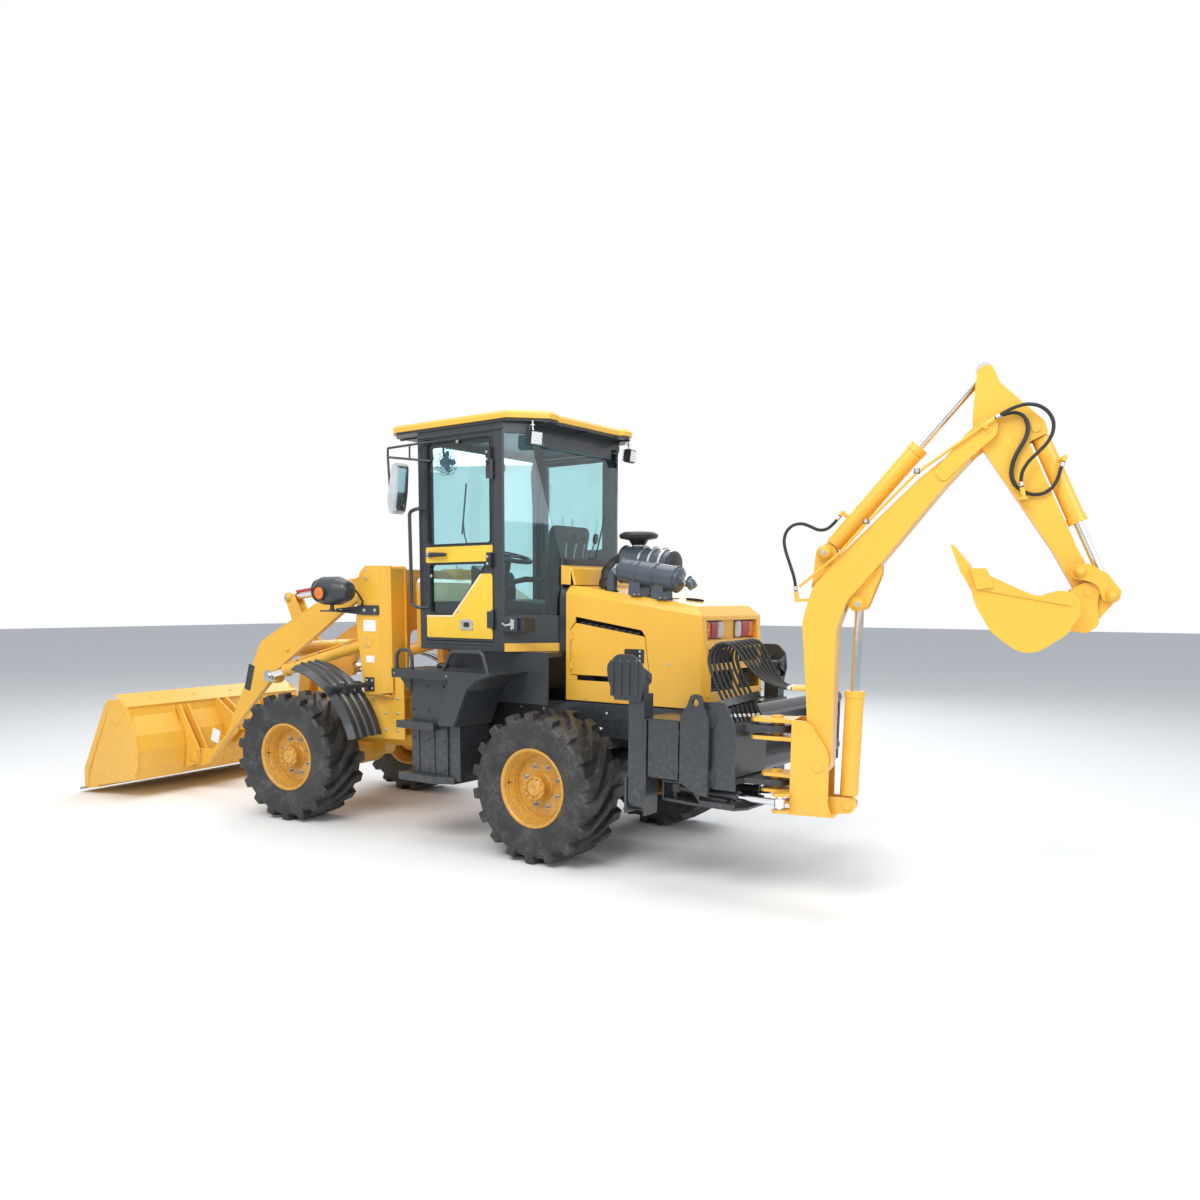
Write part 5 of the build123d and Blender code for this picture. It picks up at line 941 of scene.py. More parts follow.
def cab_inside():
    """Steering wheel, dashboard, levers, pedals, floor mat and fan, and the hoe controls behind the seat."""
    piece = Piece("cab_controls", "root", REAR, "black_plastic")
    tilt = Matrix.Rotation(radians(14), 3, "Y")
    middle = Vector((-1030, 0, 2156))
    ring = [middle + tilt @ Vector((190 * cos(a), 190 * sin(a),
                                    0)) for a in [2 * pi * i / 40 for i in range(42)]]
    tube(piece, ring, 15, PLASTIC, 0, 10)
    for a in (radians(90), radians(210), radians(330)):
        tube(piece, [middle, middle + tilt @ Vector((186 * cos(a), 186 * sin(a), 0))], 10, PLASTIC,
             0, 8)
    turned(piece, [(52, -18), (56, 0), (44, 16), (10, 20)], middle, tilt @ Vector((0, 0, 1)),
           PLASTIC, 24, True)
    knob = middle + tilt @ Vector((0, -186, 14))
    turned(piece, [(8, 0), (20, 18), (22, 34), (10, 46)], knob, (0, 0, 1), PLASTIC, 16, True)
    # dashboard, with gauges that face the seat
    plate(piece, rounded([(-1262, 1880), (-1090, 1880), (-1110, 2020), (-1262, 2090)],
                         (10, 20, 40, 10)), (-175, 175), PLASTIC,
          "Y", 8)
    for y in (-110, -38, 38, 110):
        turned(piece, [(30, 0), (30, 6), (26, 9)], (-1112, y, 1955), (1, 0, 0.25), ZINC, 24, False)
        turned(piece, [(26, 5), (1, 6)], (-1110, y, 1955), (1, 0, 0.25), PALE_PLASTIC, 24, False)
    # hoe controls on the console behind the seat
    block(piece, (-410, -250), (-260, 260), (1475, 2080), PLASTIC, 12)
    for y, lean in ((-150, -25), (-60, 12), (60, -12), (150, 30)):
        tube(piece, [(-330, y, 2070), (-322, y + lean * 0.4, 2170), (-300, y + lean, 2250)], 7,
             ZINC, 30, 8)
        turned(piece, [(8, 0), (19, 16), (22, 50), (16, 74), (4, 82)], (-302, y + lean, 2235),
               (0.15, 0, 1), PLASTIC, 16, True)
    # side console with levers
    block(piece, (-900, -520), (330, 460), (1480, 1960), PLASTIC, 14)
    for x in (-820, -720, -620):
        tube(piece, [(x, 395, 1950), (x - 20, 390, 2060)], 7, ZINC, 0, 8)
        turned(piece, [(8, 0), (17, 12), (18, 36), (5, 50)], (x - 20, 390, 2052), (0, 0, 1),
               PLASTIC, 14, True)
    # pedals and floor mat
    for y in (-150, 120, 210):
        block(piece, (-1080, -1000), (y - 32, y + 32), (1540, 1552), RUBBER, 4,
              Matrix.Rotation(radians(-38), 3, "Y"))
    block(piece, (-1240, -520), (-630, 630), (1470.5, 1477), RUBBER, 2)
    for y in range(-600, 610, 60):
        block(piece, (-1230, -900), (y - 6, y + 6), (1476, 1481), RUBBER, 1)
    # fan under the roof at the windscreen
    hub = Vector((-1190, -525, 2848))
    for radius in (95, 72, 48):
        for offset in (-28, 28):
            loop = [hub + Vector((offset + (95 - radius) * 0.15 * (1 if offset > 0 else -1),
                                  radius * cos(a), radius * sin(a)))
                    for a in [2 * pi * i / 28 for i in range(30)]]
            tube(piece, loop, 2.2, ZINC, 0, 6)
    for i in range(12):
        a = 2 * pi * i / 12
        tube(piece, [hub + Vector((32, 20 * cos(a), 20 * sin(a))),
                     hub + Vector((28, 95 * cos(a), 95 * sin(a))),
                     hub + Vector((-28, 95 * cos(a), 95 * sin(a))),
                     hub + Vector((-32, 20 * cos(a), 20 * sin(a)))], 1.8,
             ZINC, 0, 6)
    turned(piece, [(28, -36), (34, -20), (34, 24), (12, 34)], hub, (1, 0, 0), BLUE_PLASTIC, 20,
           True)
    for i in range(4):
        a = pi / 2 * i + 0.3
        blade = [(0, 10), (38, -18), (80, -4), (86, 26), (50, 40)]
        spin = Matrix.Rotation(a, 3, "X") @ Matrix.Rotation(radians(20), 3, "Y")
        points = [hub + spin @ Vector((t, p, q)) for t in (-2, 2) for q, p in blade]
        faces = [(0, 1, 2, 3, 4),
                 (9, 8, 7, 6, 5)] + [(k, (k + 1) % 5, (k + 1) % 5 + 5, k + 5) for k in range(5)]
        piece.add(points, faces, BLUE_PLASTIC)
    tube(piece, [hub, hub + Vector((-20, 0, 60)), hub + Vector((-30, 0, 170))], 8, PLASTIC, 20, 8)
    piece.done()


cab_inside()
roof_underside()
# ---------------------------------------------------------------- seat
def puffed(points, faces, pressure, voxel=0.006):
    mesh = bpy.data.meshes.new("cushion")
    mesh.from_pydata([Vector(p) * MM for p in points], [], faces)
    obj = bpy.data.objects.new("cushion", mesh)
    scene.collection.objects.link(obj)
    remesh = obj.modifiers.new("remesh", "REMESH")
    remesh.mode = "VOXEL"
    remesh.voxel_size = voxel
    bpy.context.view_layer.update()
    dense = applied(obj)
    obj.modifiers.clear()
    obj.data = dense
    cloth = obj.modifiers.new("cloth", "CLOTH")
    settings = cloth.settings
    settings.use_pressure = True
    settings.uniform_pressure_force = pressure
    settings.tension_stiffness = settings.compression_stiffness = 18
    settings.shear_stiffness = 8
    settings.bending_stiffness = 2.5
    settings.effector_weights.gravity = 0
    cloth.point_cache.frame_start, cloth.point_cache.frame_end = 1, 14
    for frame_number in range(1, 15):
        scene.frame_set(frame_number)
    bpy.context.view_layer.update()
    shaped = applied(obj)
    obj.modifiers.clear()
    cap = 0.014
    for new, old in zip(shaped.vertices, dense.vertices):
        step = new.co - old.co
        if step.length > cap:
            new.co = old.co + step.normalized() * cap
    obj.data = shaped
    scene.frame_set(1)
    smooth = obj.modifiers.new("smooth", "SMOOTH")
    smooth.iterations = 6
    bpy.context.view_layer.update()
    final = applied(obj)
    bpy.data.objects.remove(obj)
    return final


def cushion_form(outline, half):
    """A side outline (x, z) as a cushion that tapers to its sides, with grooves across its face."""
    points, faces = [], []
    rows = ((-half, 0.86), (-half * 0.9, 0.97), (-half * 0.62, 1.0), (-half * 0.58, 0.975),
            (-half * 0.54, 1.0), (0, 1.0),
            (half * 0.54, 1.0), (half * 0.58, 0.975), (half * 0.62, 1.0), (half * 0.9, 0.97),
            (half, 0.86))
    middle = sum((Vector(p) for p in outline), Vector((0, 0))) / len(outline)
    count = len(outline)
    for y, scale in rows:
        for p in outline:
            q = middle + (Vector(p) - middle) * scale
            points.append((q.x, y, q.y))
    for r in range(len(rows) - 1):
        for k in range(count):
            n = (k + 1) % count
            faces.append((r * count + k, r * count + n, (r + 1) * count + n, (r + 1) * count + k))
    faces.append(tuple(range(count)))
    faces.append(tuple((len(rows) - 1) * count + k for k in reversed(range(count))))
    return points, faces


def make_seat():
    seat_side = rounded([(-924, 1706), (-446, 1706), (-446, 1780), (-560, 1778), (-730, 1786),
                         (-915, 1812)],
                        (30, 20, 20, 60, 90, 36), 5)
    back_side = rounded([(-512, 1800), (-436, 1800), (-360, 2340), (-378, 2372), (-430, 2372),
                         (-448, 2330), (-484, 2060)],
                        (24, 24, 40, 20, 30, 60, 120), 5)
    made = []
    for name, outline, half in (("seat_cushion", seat_side, 232), ("seat_back", back_side, 212)):
        mesh = puffed(*cushion_form(outline, half), 3.5)
        mesh.name = name
        mesh.materials.clear()
        mesh.materials.append(VINYL)
        mesh.polygons.foreach_set("use_smooth", [True] * len(mesh.polygons))
        obj = bpy.data.objects.new(name, mesh)
        scene.collection.objects.link(obj)
        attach(obj, "root")
        made.append(obj)
    piece = Piece("seat_frame", "root", REAR, "black_plastic")
    block(piece, (-900, -450), (-215, 215), (1690, 1706), PLASTIC, 6)
    block(piece, (-850, -480), (-185, 185), (1475, 1520), BLACK, 6)
    for z in range(1530, 1690, 16):
        inset = 8 if (z // 16) % 2 else 0
        block(piece, (-830 + inset, -500 - inset), (-170 + inset, 170 - inset), (z, z + 13),
              RUBBER, 4)
    for y in (-246, 234):
        tube(piece, [(-470, y + 6, 1960), (-640, y + 6, 1968), (-760, y + 6, 1950)], (20, 24, 20),
             PLASTIC, 40, 12)
        tube(piece, [(-452, y + 6, 1700), (-420, y + 6, 1960)], 12, BLACK, 0, 8)
    for row, half in ((2120, 205), (2230, 198)):
        seam = [(-474 + (2372 - row) * -0.13 + 12, y, row) for y in range(-half, half + 1, 41)]
        tube(piece, seam, 2.5, VINYL, 0, 6)
    for x in (-640, -760):
        tube(piece, [(x, y, 1793 if x > -700 else 1799) for y in range(-210, 211, 42)], 2.5, VINYL,
             0, 6)
    turned(piece, [(9, 0), (9, 60)], (-430, -60, 2370), (0, 0, 1), CHROME, 10, False)
    turned(piece, [(9, 0), (9, 60)], (-430, 60, 2370), (0, 0, 1), CHROME, 10, False)
    piece.done("seat")


make_seat()
# ---------------------------------------------------------------- hood, exhaust and air cleaner
HOOD_SIDE = -413


def hood_fittings():
    piece = Piece("hood_fittings", "root", REAR, "black_plastic")
    # tail lamps in their recess: amber, red and clear on each side
    for side in (-1, 1):
        y = 350
        for finish, width in ((AMBER_LENS, 84), (RED_LENS, 96), (CLEAR_LENS, 74)):
            span = sorted((side * y, side * (y - width)))
            block(piece, (962, 985), span, (1562, 1668), finish, 7)
            y -= width + 2
        block(piece, (958, 966), sorted((side * 354, side * 86)), (1554, 1676), PLASTIC, 3)
        bolts(piece, [(987, side * 306, 1615), (987, side * 120, 1615)], (1, 0, 0), 10, CHROME)
    # grille of louvres behind the four openings, and their frames
    for column in ((-350, -34), (34, 350)):
        for row in ((1205, 1350), (1390, 1490)):
            for z in range(row[0] + 8, row[1], 17):
                block(piece, (985, 1010), column, (z, z + 4), BLACK, 0,
                      Matrix.Rotation(radians(-32), 3, "Y"))
            loop = [(1037 - (z - 1140) * 0.012, y, z) for y, z in
                    rounded([(column[0], row[0]), (column[1], row[0]), (column[1], row[1]),
                             (column[0], row[1])], 8)]
            tube(piece, loop + loop[:2], 4.5, YELLOW, 0, 8)
    for y in (-390, 390):
        bolts(piece, [(1036, y, 1180), (1030, y, 1520)], (1, 0, 0), 13, YELLOW)
    # edge trims of the two round holes in the top
    turned(piece, [(61, -6), (61, 4), (66, 5), (66, -2)], (702, 0, 1816), (0.13, 0, 1), RUBBER, 32,
           True, True)
    turned(piece, [(42, -6), (42, 5), (48, 6), (48, -2)], (200, -300, 1876), (0.13, 0, 1), RUBBER,
           28, True, True)
    # joint with the engine frame
    for side in (-1, 1):
        block(piece, (-118, 1030), sorted((side * 398, side * 409)), (1086, 1096), RUBBER, 2)
    # radiator behind the grille
    block(piece, (900, 940), (-330, 330), (1130, 1520), PLASTIC, 4)
    for z in range(1140, 1515, 11):
        block(piece, (940, 950), (-322, 322), (z, z + 2), STEEL, 0)
    for y in range(-320, 321, 40):
        block(piece, (944, 952), (y - 2, y + 2), (1135, 1515), STEEL, 0)
    piece.done()


def hood_door_fittings(side, name):
    piece = Piece("engine_door_fittings_" + name, "hood_door_" + name,
                  REAR if side < 0 else MIRROR, "black_plastic")
    y = HOOD_SIDE
    plate(piece, rounded([(393, 1383), (553, 1383), (553, 1478), (393, 1478)], 8), (y - 5, y + 2),
          PLASTIC)
    plate(piece, rounded([(405, 1395), (500, 1395), (500, 1466), (405, 1466)], 8), (y - 12, y - 4),
          PLASTIC)
    block(piece, (418, 486), (y - 20, y - 11), (1408, 1452), RUBBER, 5)
    for x, z in ((522, 1462), (522, 1430), (522, 1398)):
        turned(piece, [(9, 0), (9, 5), (4, 7)], (x, y - 5, z), (0, -1, 0), ZINC, 12, False)
    for z in (1345, 1555):
        tube(piece, [(-72, y - 4, z - 26), (-72, y - 4, z + 26)], 8, YELLOW, 0, 12)
        block(piece, (-70, -50), (y - 4, y + 1), (z - 24, z + 24), YELLOW, 2)
    piece.done()


hood_fittings()
for side, name in ((-1, "left"), (1, "right")):
    hood_door_fittings(side, name)


def hood_slots():
    """Dark lips of the long vents over the engine doors, and the lone bolt behind them."""
    for side in (-1, 1):
        piece = Piece("hood_vents_" + ("left" if side < 0 else "right"), "root",
                      REAR if side < 0 else MIRROR, "yellow_paint")
        y = HOOD_SIDE
        for x in range(0, 520, 58):
            z = 1668 - (x + 35) * 0.145
            block(piece, (x, x + 44), (y + 12, y + 26), (z - 26, z - 4), BLACK, 1,
                  Matrix.Rotation(radians(30), 3, "X"))
        bolts(piece, [(749, y, 1384)], (0, -1, 0), 15, ZINC)
        bolts(piece, [(x, y, 1112) for x in (60, 340, 620, 900)], (0, -1, 0), 13, YELLOW)
        piece.done()


hood_slots()


def exhaust():
    """Weld beads, clamps and bolts of the muffler, and the bands and cap of the air cleaner."""
    piece = Piece("exhaust_and_intake_fittings", "root", REAR, "grey_paint")
    start, end = Vector((302, -300, 2018)), Vector((745, -300, 1950))
    axis = (end - start).normalized()
    for share in (0.003, 0.335, 0.66, 0.995):
        at = start.lerp(end, share)
        turned(piece, [(86, -5), (90.5, -4), (91, 0), (90.5, 4), (86, 5)], at, axis, GREY, 48,
               True, True)
    turned(piece, [(86, 0), (80, 14), (60, 26), (34, 30), (33, 60)], end, axis, GREY, 40, True)
    turned(piece, [(86, 0), (80, 12), (60, 20), (38, 22), (37, 30)], start, -axis, GREY, 40, True)
    tube(piece, [(738, -300, 1951), (812, -300, 1941), (846, -300, 1926), (862, -300, 1896)], 32,
         GREY, 34, 20)
    for at, way in (((250, -300, 2025), (1, 0, -0.1)), ((822, -300, 1938), (1, 0, -0.2))):
        turned(piece, [(37, -9), (41, -8), (41, 8), (37, 9)], at, way, ZINC, 28, False, True)
        block(piece, (at[0] - 8, at[0] + 8), (at[1] - 62, at[1] - 34), (at[2] - 6, at[2] + 6),
              ZINC, 3)
    for x, z in ((434, 1836), (643, 1812)):
        for y in (-372, -228):
            block(piece, (x - 24, x + 66), (y - 14, y + 14), (z + 6, z + 13), BLACK, 2)
            bolts(piece, [(x + 4, y, z + 13), (x + 44, y, z + 9)], (0, 0, 1), 16, ZINC)
    # air cleaner
    start, end = Vector((125, -25, 2106)), Vector((545, -25, 2050))
    axis = (end - start).normalized()
    for share in (0.42, 0.62, 0.82):
        at = start.lerp(end, share)
        turned(piece, [(107, -9), (109.5, -8), (109.5, 8), (107, 9)], at, axis, ZINC, 48, False,
               True)
        block(piece, (at.x - 10, at.x + 10), (-48, 0), (at.z + 104, at.z + 120), ZINC, 3)
        tube(piece, [(at.x, -60, at.z + 112), (at.x, 12, at.z + 112)], 4, ZINC, 0, 8)
    for share in (0.0, 0.96):
        at = start.lerp(end, share)
        turned(piece, [(97, -3), (103, -2), (104, 6), (103, 14), (97, 15)], at, axis, RUBBER, 48,
               True, True)
    turned(piece, [(96, 0), (90, 10), (50, 18), (30, 20), (28, 34), (1, 36)], end, axis, PLASTIC,
           40, True)
    turned(piece, [(96, 0), (86, 12), (44, 18), (1, 19)], start, -axis, PLASTIC, 40, True)
    # rain cap with its skirt, collar and clamp
    turned(piece, [(138, 2262), (141, 2268), (141, 2276), (128, 2288), (96, 2298), (40, 2302),
                   (1, 2303)], (240, -25, 0),
           (0, 0, 1), PLASTIC, 48, True)
    turned(piece, [(138, 2264), (132, 2252), (70, 2240), (46, 2200)], (240, -25, 0), (0, 0, 1),
           PLASTIC, 48, True, False)
    turned(piece, [(43, 2196), (48, 2197), (48, 2211), (43, 2212)], (240, -25, 0), (0, 0, 1), ZINC,
           32, False, True)
    for i in range(24):
        a = 2 * pi * i / 24
        tube(piece, [(240 + 60 * cos(a), -25 + 60 * sin(a), 2250),
                     (240 + 128 * cos(a), -25 + 128 * sin(a), 2262)], 3, PLASTIC,
             0, 6)
    # intake hose from the cleaner down into the hood, with its ribs
    path = [(118, -25, 2106), (60, -25, 2094), (20, -90, 2020), (60, -180, 1930), (110, -210, 1880)]
    tube(piece, path, 46, RUBBER, 60, 24)
    route = round_path(path, 60)
    for i in range(2, len(route) - 2, 2):
        way = (route[i + 1] - route[i - 1]).normalized()
        turned(piece, [(45, -5), (50, -3), (50, 3), (45, 5)], route[i], way, RUBBER, 24, True, True)
    piece.done()


exhaust()
# ---------------------------------------------------------------- platforms, rear frame and joint
def tread_bars(outline, lift, step=34):
    """Places for the raised bars of a tread plate inside a rectangle, in two leaning directions."""
    (x0, x1), (y0, y1) = outline
    places = []
    row = 0
    y = y0 + step / 2
    while y < y1 - step / 3:
        x = x0 + step / 2 + (row % 2) * step / 2
        while x < x1 - step / 3:
            lean = 0.785 if (row + int(x / step)) % 2 else -0.785
            places.append(((x, y, lift), (0, 0, lean)))
            x += step
        y += step * 0.6
        row += 1
    return places


def tread_bar():
    def build(piece):
        block(piece, (-12, 12), (-2.6, 2.6), (-0.5, 2.2), BLACK, 1.2)
    return shape_object("tread_bar", build)


def platform(side, name):
    piece = Piece("step_treads_" + name, "root", REAR if side > 0 else MIRROR, "grey_paint")
    for area, z in ((((-1312, -725), (640, 992)), 1300), (((-1275, -905), (815, 992)), 912),
                    (((-1258, -915), (815, 992)), 518)):
        copies(piece, tread_bar(), tread_bars(area, z), BLACK)
    for x, y, z in ((-1308, 960, 1300), (-1145, 960, 1300), (-826, 960, 1300), (-390, 960, 1300)):
        turned(piece, [(24, 0), (24, 6)], (x, y, z), (0, 0, 1), BLACK, 16, False)
    # flanges round the deck and the steps
    for x, y, z in (((-1324, -716), (998, 1004), (1236, 1302)),
                    ((-1286, -892), (998, 1003), (858, 914)),
                    ((-1270, -902), (998, 1003), (464, 520))):
        block(piece, x, y, z, BLACK, 2)
    bolts(piece, [(x, 932, z) for x in (-1170, -1010, -850) for z in (560, 780, 1000, 1180)],
          (0, 1, 0), 14, BLACK)
    bolts(piece, [(x, 1002, 1268) for x in (-1290, -750)], (0, 1, 0), 14, ZINC)
    # ribs of the guard over the tyre and of the box under the deck
    tube(piece, [(-560, 1002, 1180), (-690, 1002, 908)], 6, BLACK, 0, 8)
    for x in (-1120, -960):
        block(piece, (x - 12, x + 12), (930, 938), (530, 850), BLACK, 2)
    # fuel filler
    turned(piece, [(44, 0), (48, 8), (48, 26), (36, 34), (1, 35)], (-1080, 700, 1300), (0, 0, 1),
           PLASTIC, 28, True)
    piece.done()


for side, name in ((-1, "left"), (1, "right")):
    platform(side, name)


def rear_frame_fittings():
    piece = Piece("rear_frame_fittings", "root", REAR, "grey_paint")
    for side in (-1, 1):
        y = side * 440
        bolts(piece, [(x, y, z) for x in (-520, -300, 260, 480, 700) for z in (1020,)],
              (0, side, 0), 18, ZINC)
        bolts(piece, [(x, y, 905) for x in (-210, 210)], (0, side, 0), 26, ZINC)
        block(piece, (-250, 250), sorted((side * 300, side * 438)), (838, 852), BLACK, 3)
        # axle saddles with their studs
        for x in (-96, 96):
            tube(piece, [(x, side * 360, 610), (x, side * 360, 860)], 11, STEEL, 0, 10)
            bolts(piece, [(x, side * 360, 610)], (0, 0, -1), 26, ZINC)
        block(piece, (-130, 130), sorted((side * 325, side * 400)), (600, 626), BLACK, 5)
        block(piece, (-110, 110), sorted((side * 330, side * 395)), (610, 850), BLACK, 4)
    # transmission and drive shaft under the cab
    block(piece, (-820, -420), (-170, 170), (560, 900), IRON, 30)
    for z in range(600, 880, 34):
        block(piece, (-810, -430), (-176, 176), (z, z + 8), IRON, 2)
    tube(piece, [(-430, 0, 600), (-320, 0, 560)], 34, IRON, 0, 16)
    tube(piece, [(-810, 0, 600), (-1270, 0, 585)], 34, IRON, 0, 16)
    for x, z in ((-1270, 585), (-860, 600)):
        turned(piece, [(58, -14), (58, 14)], (x, 0, z), (1, 0, 0), IRON, 20, False)
    # hydraulic lines from the pump to the joint
    for y in (-90, -60, 60, 90):
        tube(piece, [(-900, y, 930), (-1150, y, 945), (-1290, y * 1.1, 940)], 9, RUBBER, 60, 10)
    # belly plate and sump
    block(piece, (250, 760), (-200, 200), (660, 780), IRON, 40)
    bolts(piece, [(x, y, 660) for x in (290, 500, 720) for y in (-170, 170)], (0, 0, -1), 18, ZINC)
    piece.done()


IRON = moulded("cast_iron", (0.045, 0.047, 0.05), 0.55, 0.0016, 160)
rear_frame_fittings()
# ---------------------------------------------------------------- loader
def towers():
    """Keepers, weld lines, the brackets and bolts of the two towers."""
    piece = Piece("tower_fittings", "front_frame", FRONT, "yellow_paint")
    y = -635
    keeper(piece, -1984, 2013, y, -1, YELLOW)
    keeper(piece, -1983, 1478, y, -1, YELLOW)
    for x, z in ((-1990, 2008), (-1985, 1478)):
        turned(piece, [(46, 0), (46, 6)], (x, y + 1, z), (0, -1, 0), YELLOW, 32, False)
    # bracket of the lamp
    plate(piece, rounded([(-2046, 1690), (-1862, 1690), (-1862, 1767), (-2046, 1767)], 12),
          (y - 13, y - 8), BLACK)
    for x in (-2010, -1900):
        bolts(piece, [(x, y - 13, 1728)], (0, -1, 0), 20, ZINC)
    # blank plates where the machine carries its labels
    plate(piece, rounded([(-2030, 1560), (-1905, 1560), (-1905, 1650), (-2030, 1650)], 5),
          (y - 2.5, y + 0.5), BLANK, "Y", 0.5)
    plate(piece, rounded([(-2010, 1310), (-1925, 1310), (-1925, 1365), (-2010, 1365)], 5),
          (y - 2.5, y + 0.5), BLANK, "Y", 0.5)
    # weld lines along the bend and the foot
    tube(piece, [(-1860, y + 3, 1060), (-1860, y + 3, 2060)], 4, YELLOW, 0, 8)
    tube(piece, [(-2030, y + 8, 1044), (-1800, y + 40, 1044)], 6, YELLOW, 0, 8)
    bolts(piece, [(x, -561, z) for x in (-2020, -1880, -1760) for z in (760, 900, 1020)],
          (0, -1, 0), 18, ZINC)
    piece.mirror()
    for x in (-200, 0, 200):
        bolts(piece, [(-1889, x, 1120), (-1889, x, 1640)], (1, 0, 0), 16, YELLOW)
    # valve block behind the towers, and its pipes
    block(piece, (-1880, -1780), (-120, 120), (1030, 1150), IRON, 6)
    for k in range(5):
        px = -96 + 48 * k
        turned(piece, [(17, 0), (17, 18), (11, 20), (11, 34)], (-1780, px, 1110), (1, 0, 0), ZINC,
               12, False)
        tube(piece, [(-1750, px, 1110), (-1690, px, 1100), (-1620, px * 0.8, 1020),
                     (-1500, px * 0.6, 930)], 9, RUBBER, 50, 8)
    piece.done()


BLANK = moulded("blank_label_plate", (0.80, 0.80, 0.78), 0.35, 0.0002, 200)
towers()


def arm_fittings():
    """Weld beads, pin bosses, keepers and the pipes along the loader arms."""
    piece = Piece("loader_arm_fittings", "loader_arms", FRONT, "yellow_paint")
    y = -500
    for x, z, radius in ((-1990, 2008, 62), (-4250, 345, 78), (-3185, 1150, 70)):
        turned(piece, [(radius - 4, 0), (radius - 4, 8), (radius - 12, 12), (34, 12)],
               (x, y + 1, z), (0, -1, 0), YELLOW, 36, True)
    keeper(piece, -3185, 1150, y - 11, -1, YELLOW, (30, 86), 0.5)
    keeper(piece, -4250, 345, y - 11, -1, YELLOW, (30, 86), 0.9)
    # the blank plate of the badge, and a blank label lower down
    middle, along = Vector((-3500, 1120)), Vector((0.30, 0.95)).normalized()
    across = Vector((along.y, -along.x))
    for centre, length, width, finish in ((middle, 118, 36, BLACK),
                                          (Vector((-3975, 560)), 62, 52, BLANK)):
        corners = [centre + along * a * length + across * b * width
                   for a, b in ((-1, -1), (1, -1), (1, 1), (-1, 1))]
        plate(piece, rounded([tuple(c) for c in corners], 8), (y - 3, y + 0.5), finish, "Y", 0.8)
    for side in (1, -1):
        edge = [(-2030, y + (0 if side > 0 else 50), 2066),
                (-2650, y + (0 if side > 0 else 50), 1785),
                (-3128, y + (0 if side > 0 else 50), 1552),
                (-3320, y + (0 if side > 0 else 50), 1440)]
        tube(piece, [(px, py, pz - 6) for px, py, pz in edge], 3, YELLOW, 40, 8)
    # grease fittings
    for x, z in ((-2040, 2040), (-4205, 400), (-3150, 1205)):
        turned(piece, [(9, 0), (9, 8), (5, 10), (5, 18), (2, 20)], (x, y - 1, z), (0, -1, 0), ZINC,
               10, False)
    piece.mirror()
    for side in (-1, 1):
        # pipes on the inner faces that feed the tilt ram
        for k in range(2):
            yy = side * (440 - 14 * k)
            tube(piece, [(-2150, yy, 1935 - 26 * k), (-2600, yy, 1745 - 26 * k),
                         (-2950, yy, 1570 - 26 * k)], 8, YELLOW, 30, 8)
        bolts(piece, [(-3030 + 14, side * 506, 1382)], (0, side, 0), 30, YELLOW)
    # weld rings of the cross tube
    for side in (-1, 1):
        turned(piece, [(65, -7), (72, 0), (65, 7)], (-3030, side * 448, 1382), (0, 1, 0), YELLOW,
               32, True)
        turned(piece, [(65, -6), (70, 0), (65, 6)], (-3030, side * 100, 1382), (0, 1, 0), YELLOW,
               32, True)
    piece.done()


arm_fittings()


def crank_fittings():
    piece = Piece("bellcrank_fittings", "bellcrank", FRONT, "yellow_paint")
    for x, z, y in ((-3440, 1830, 58), (-3195, 1342, 68), (-3340, 690, 60)):
        for side in (-1, 1):
            turned(piece, [(44, 0), (44, 5), (32, 8), (32, 11)], (x, side * y, z), (0, side, 0),
                   YELLOW, 28, True)
            bolts(piece, [(x, side * (y + 11), z)], (0, side, 0), 22, ZINC)
    keeper(piece, -3195, 1342, -79, -1, YELLOW, (28, 80), 1.2)
    piece.done()


crank_fittings()


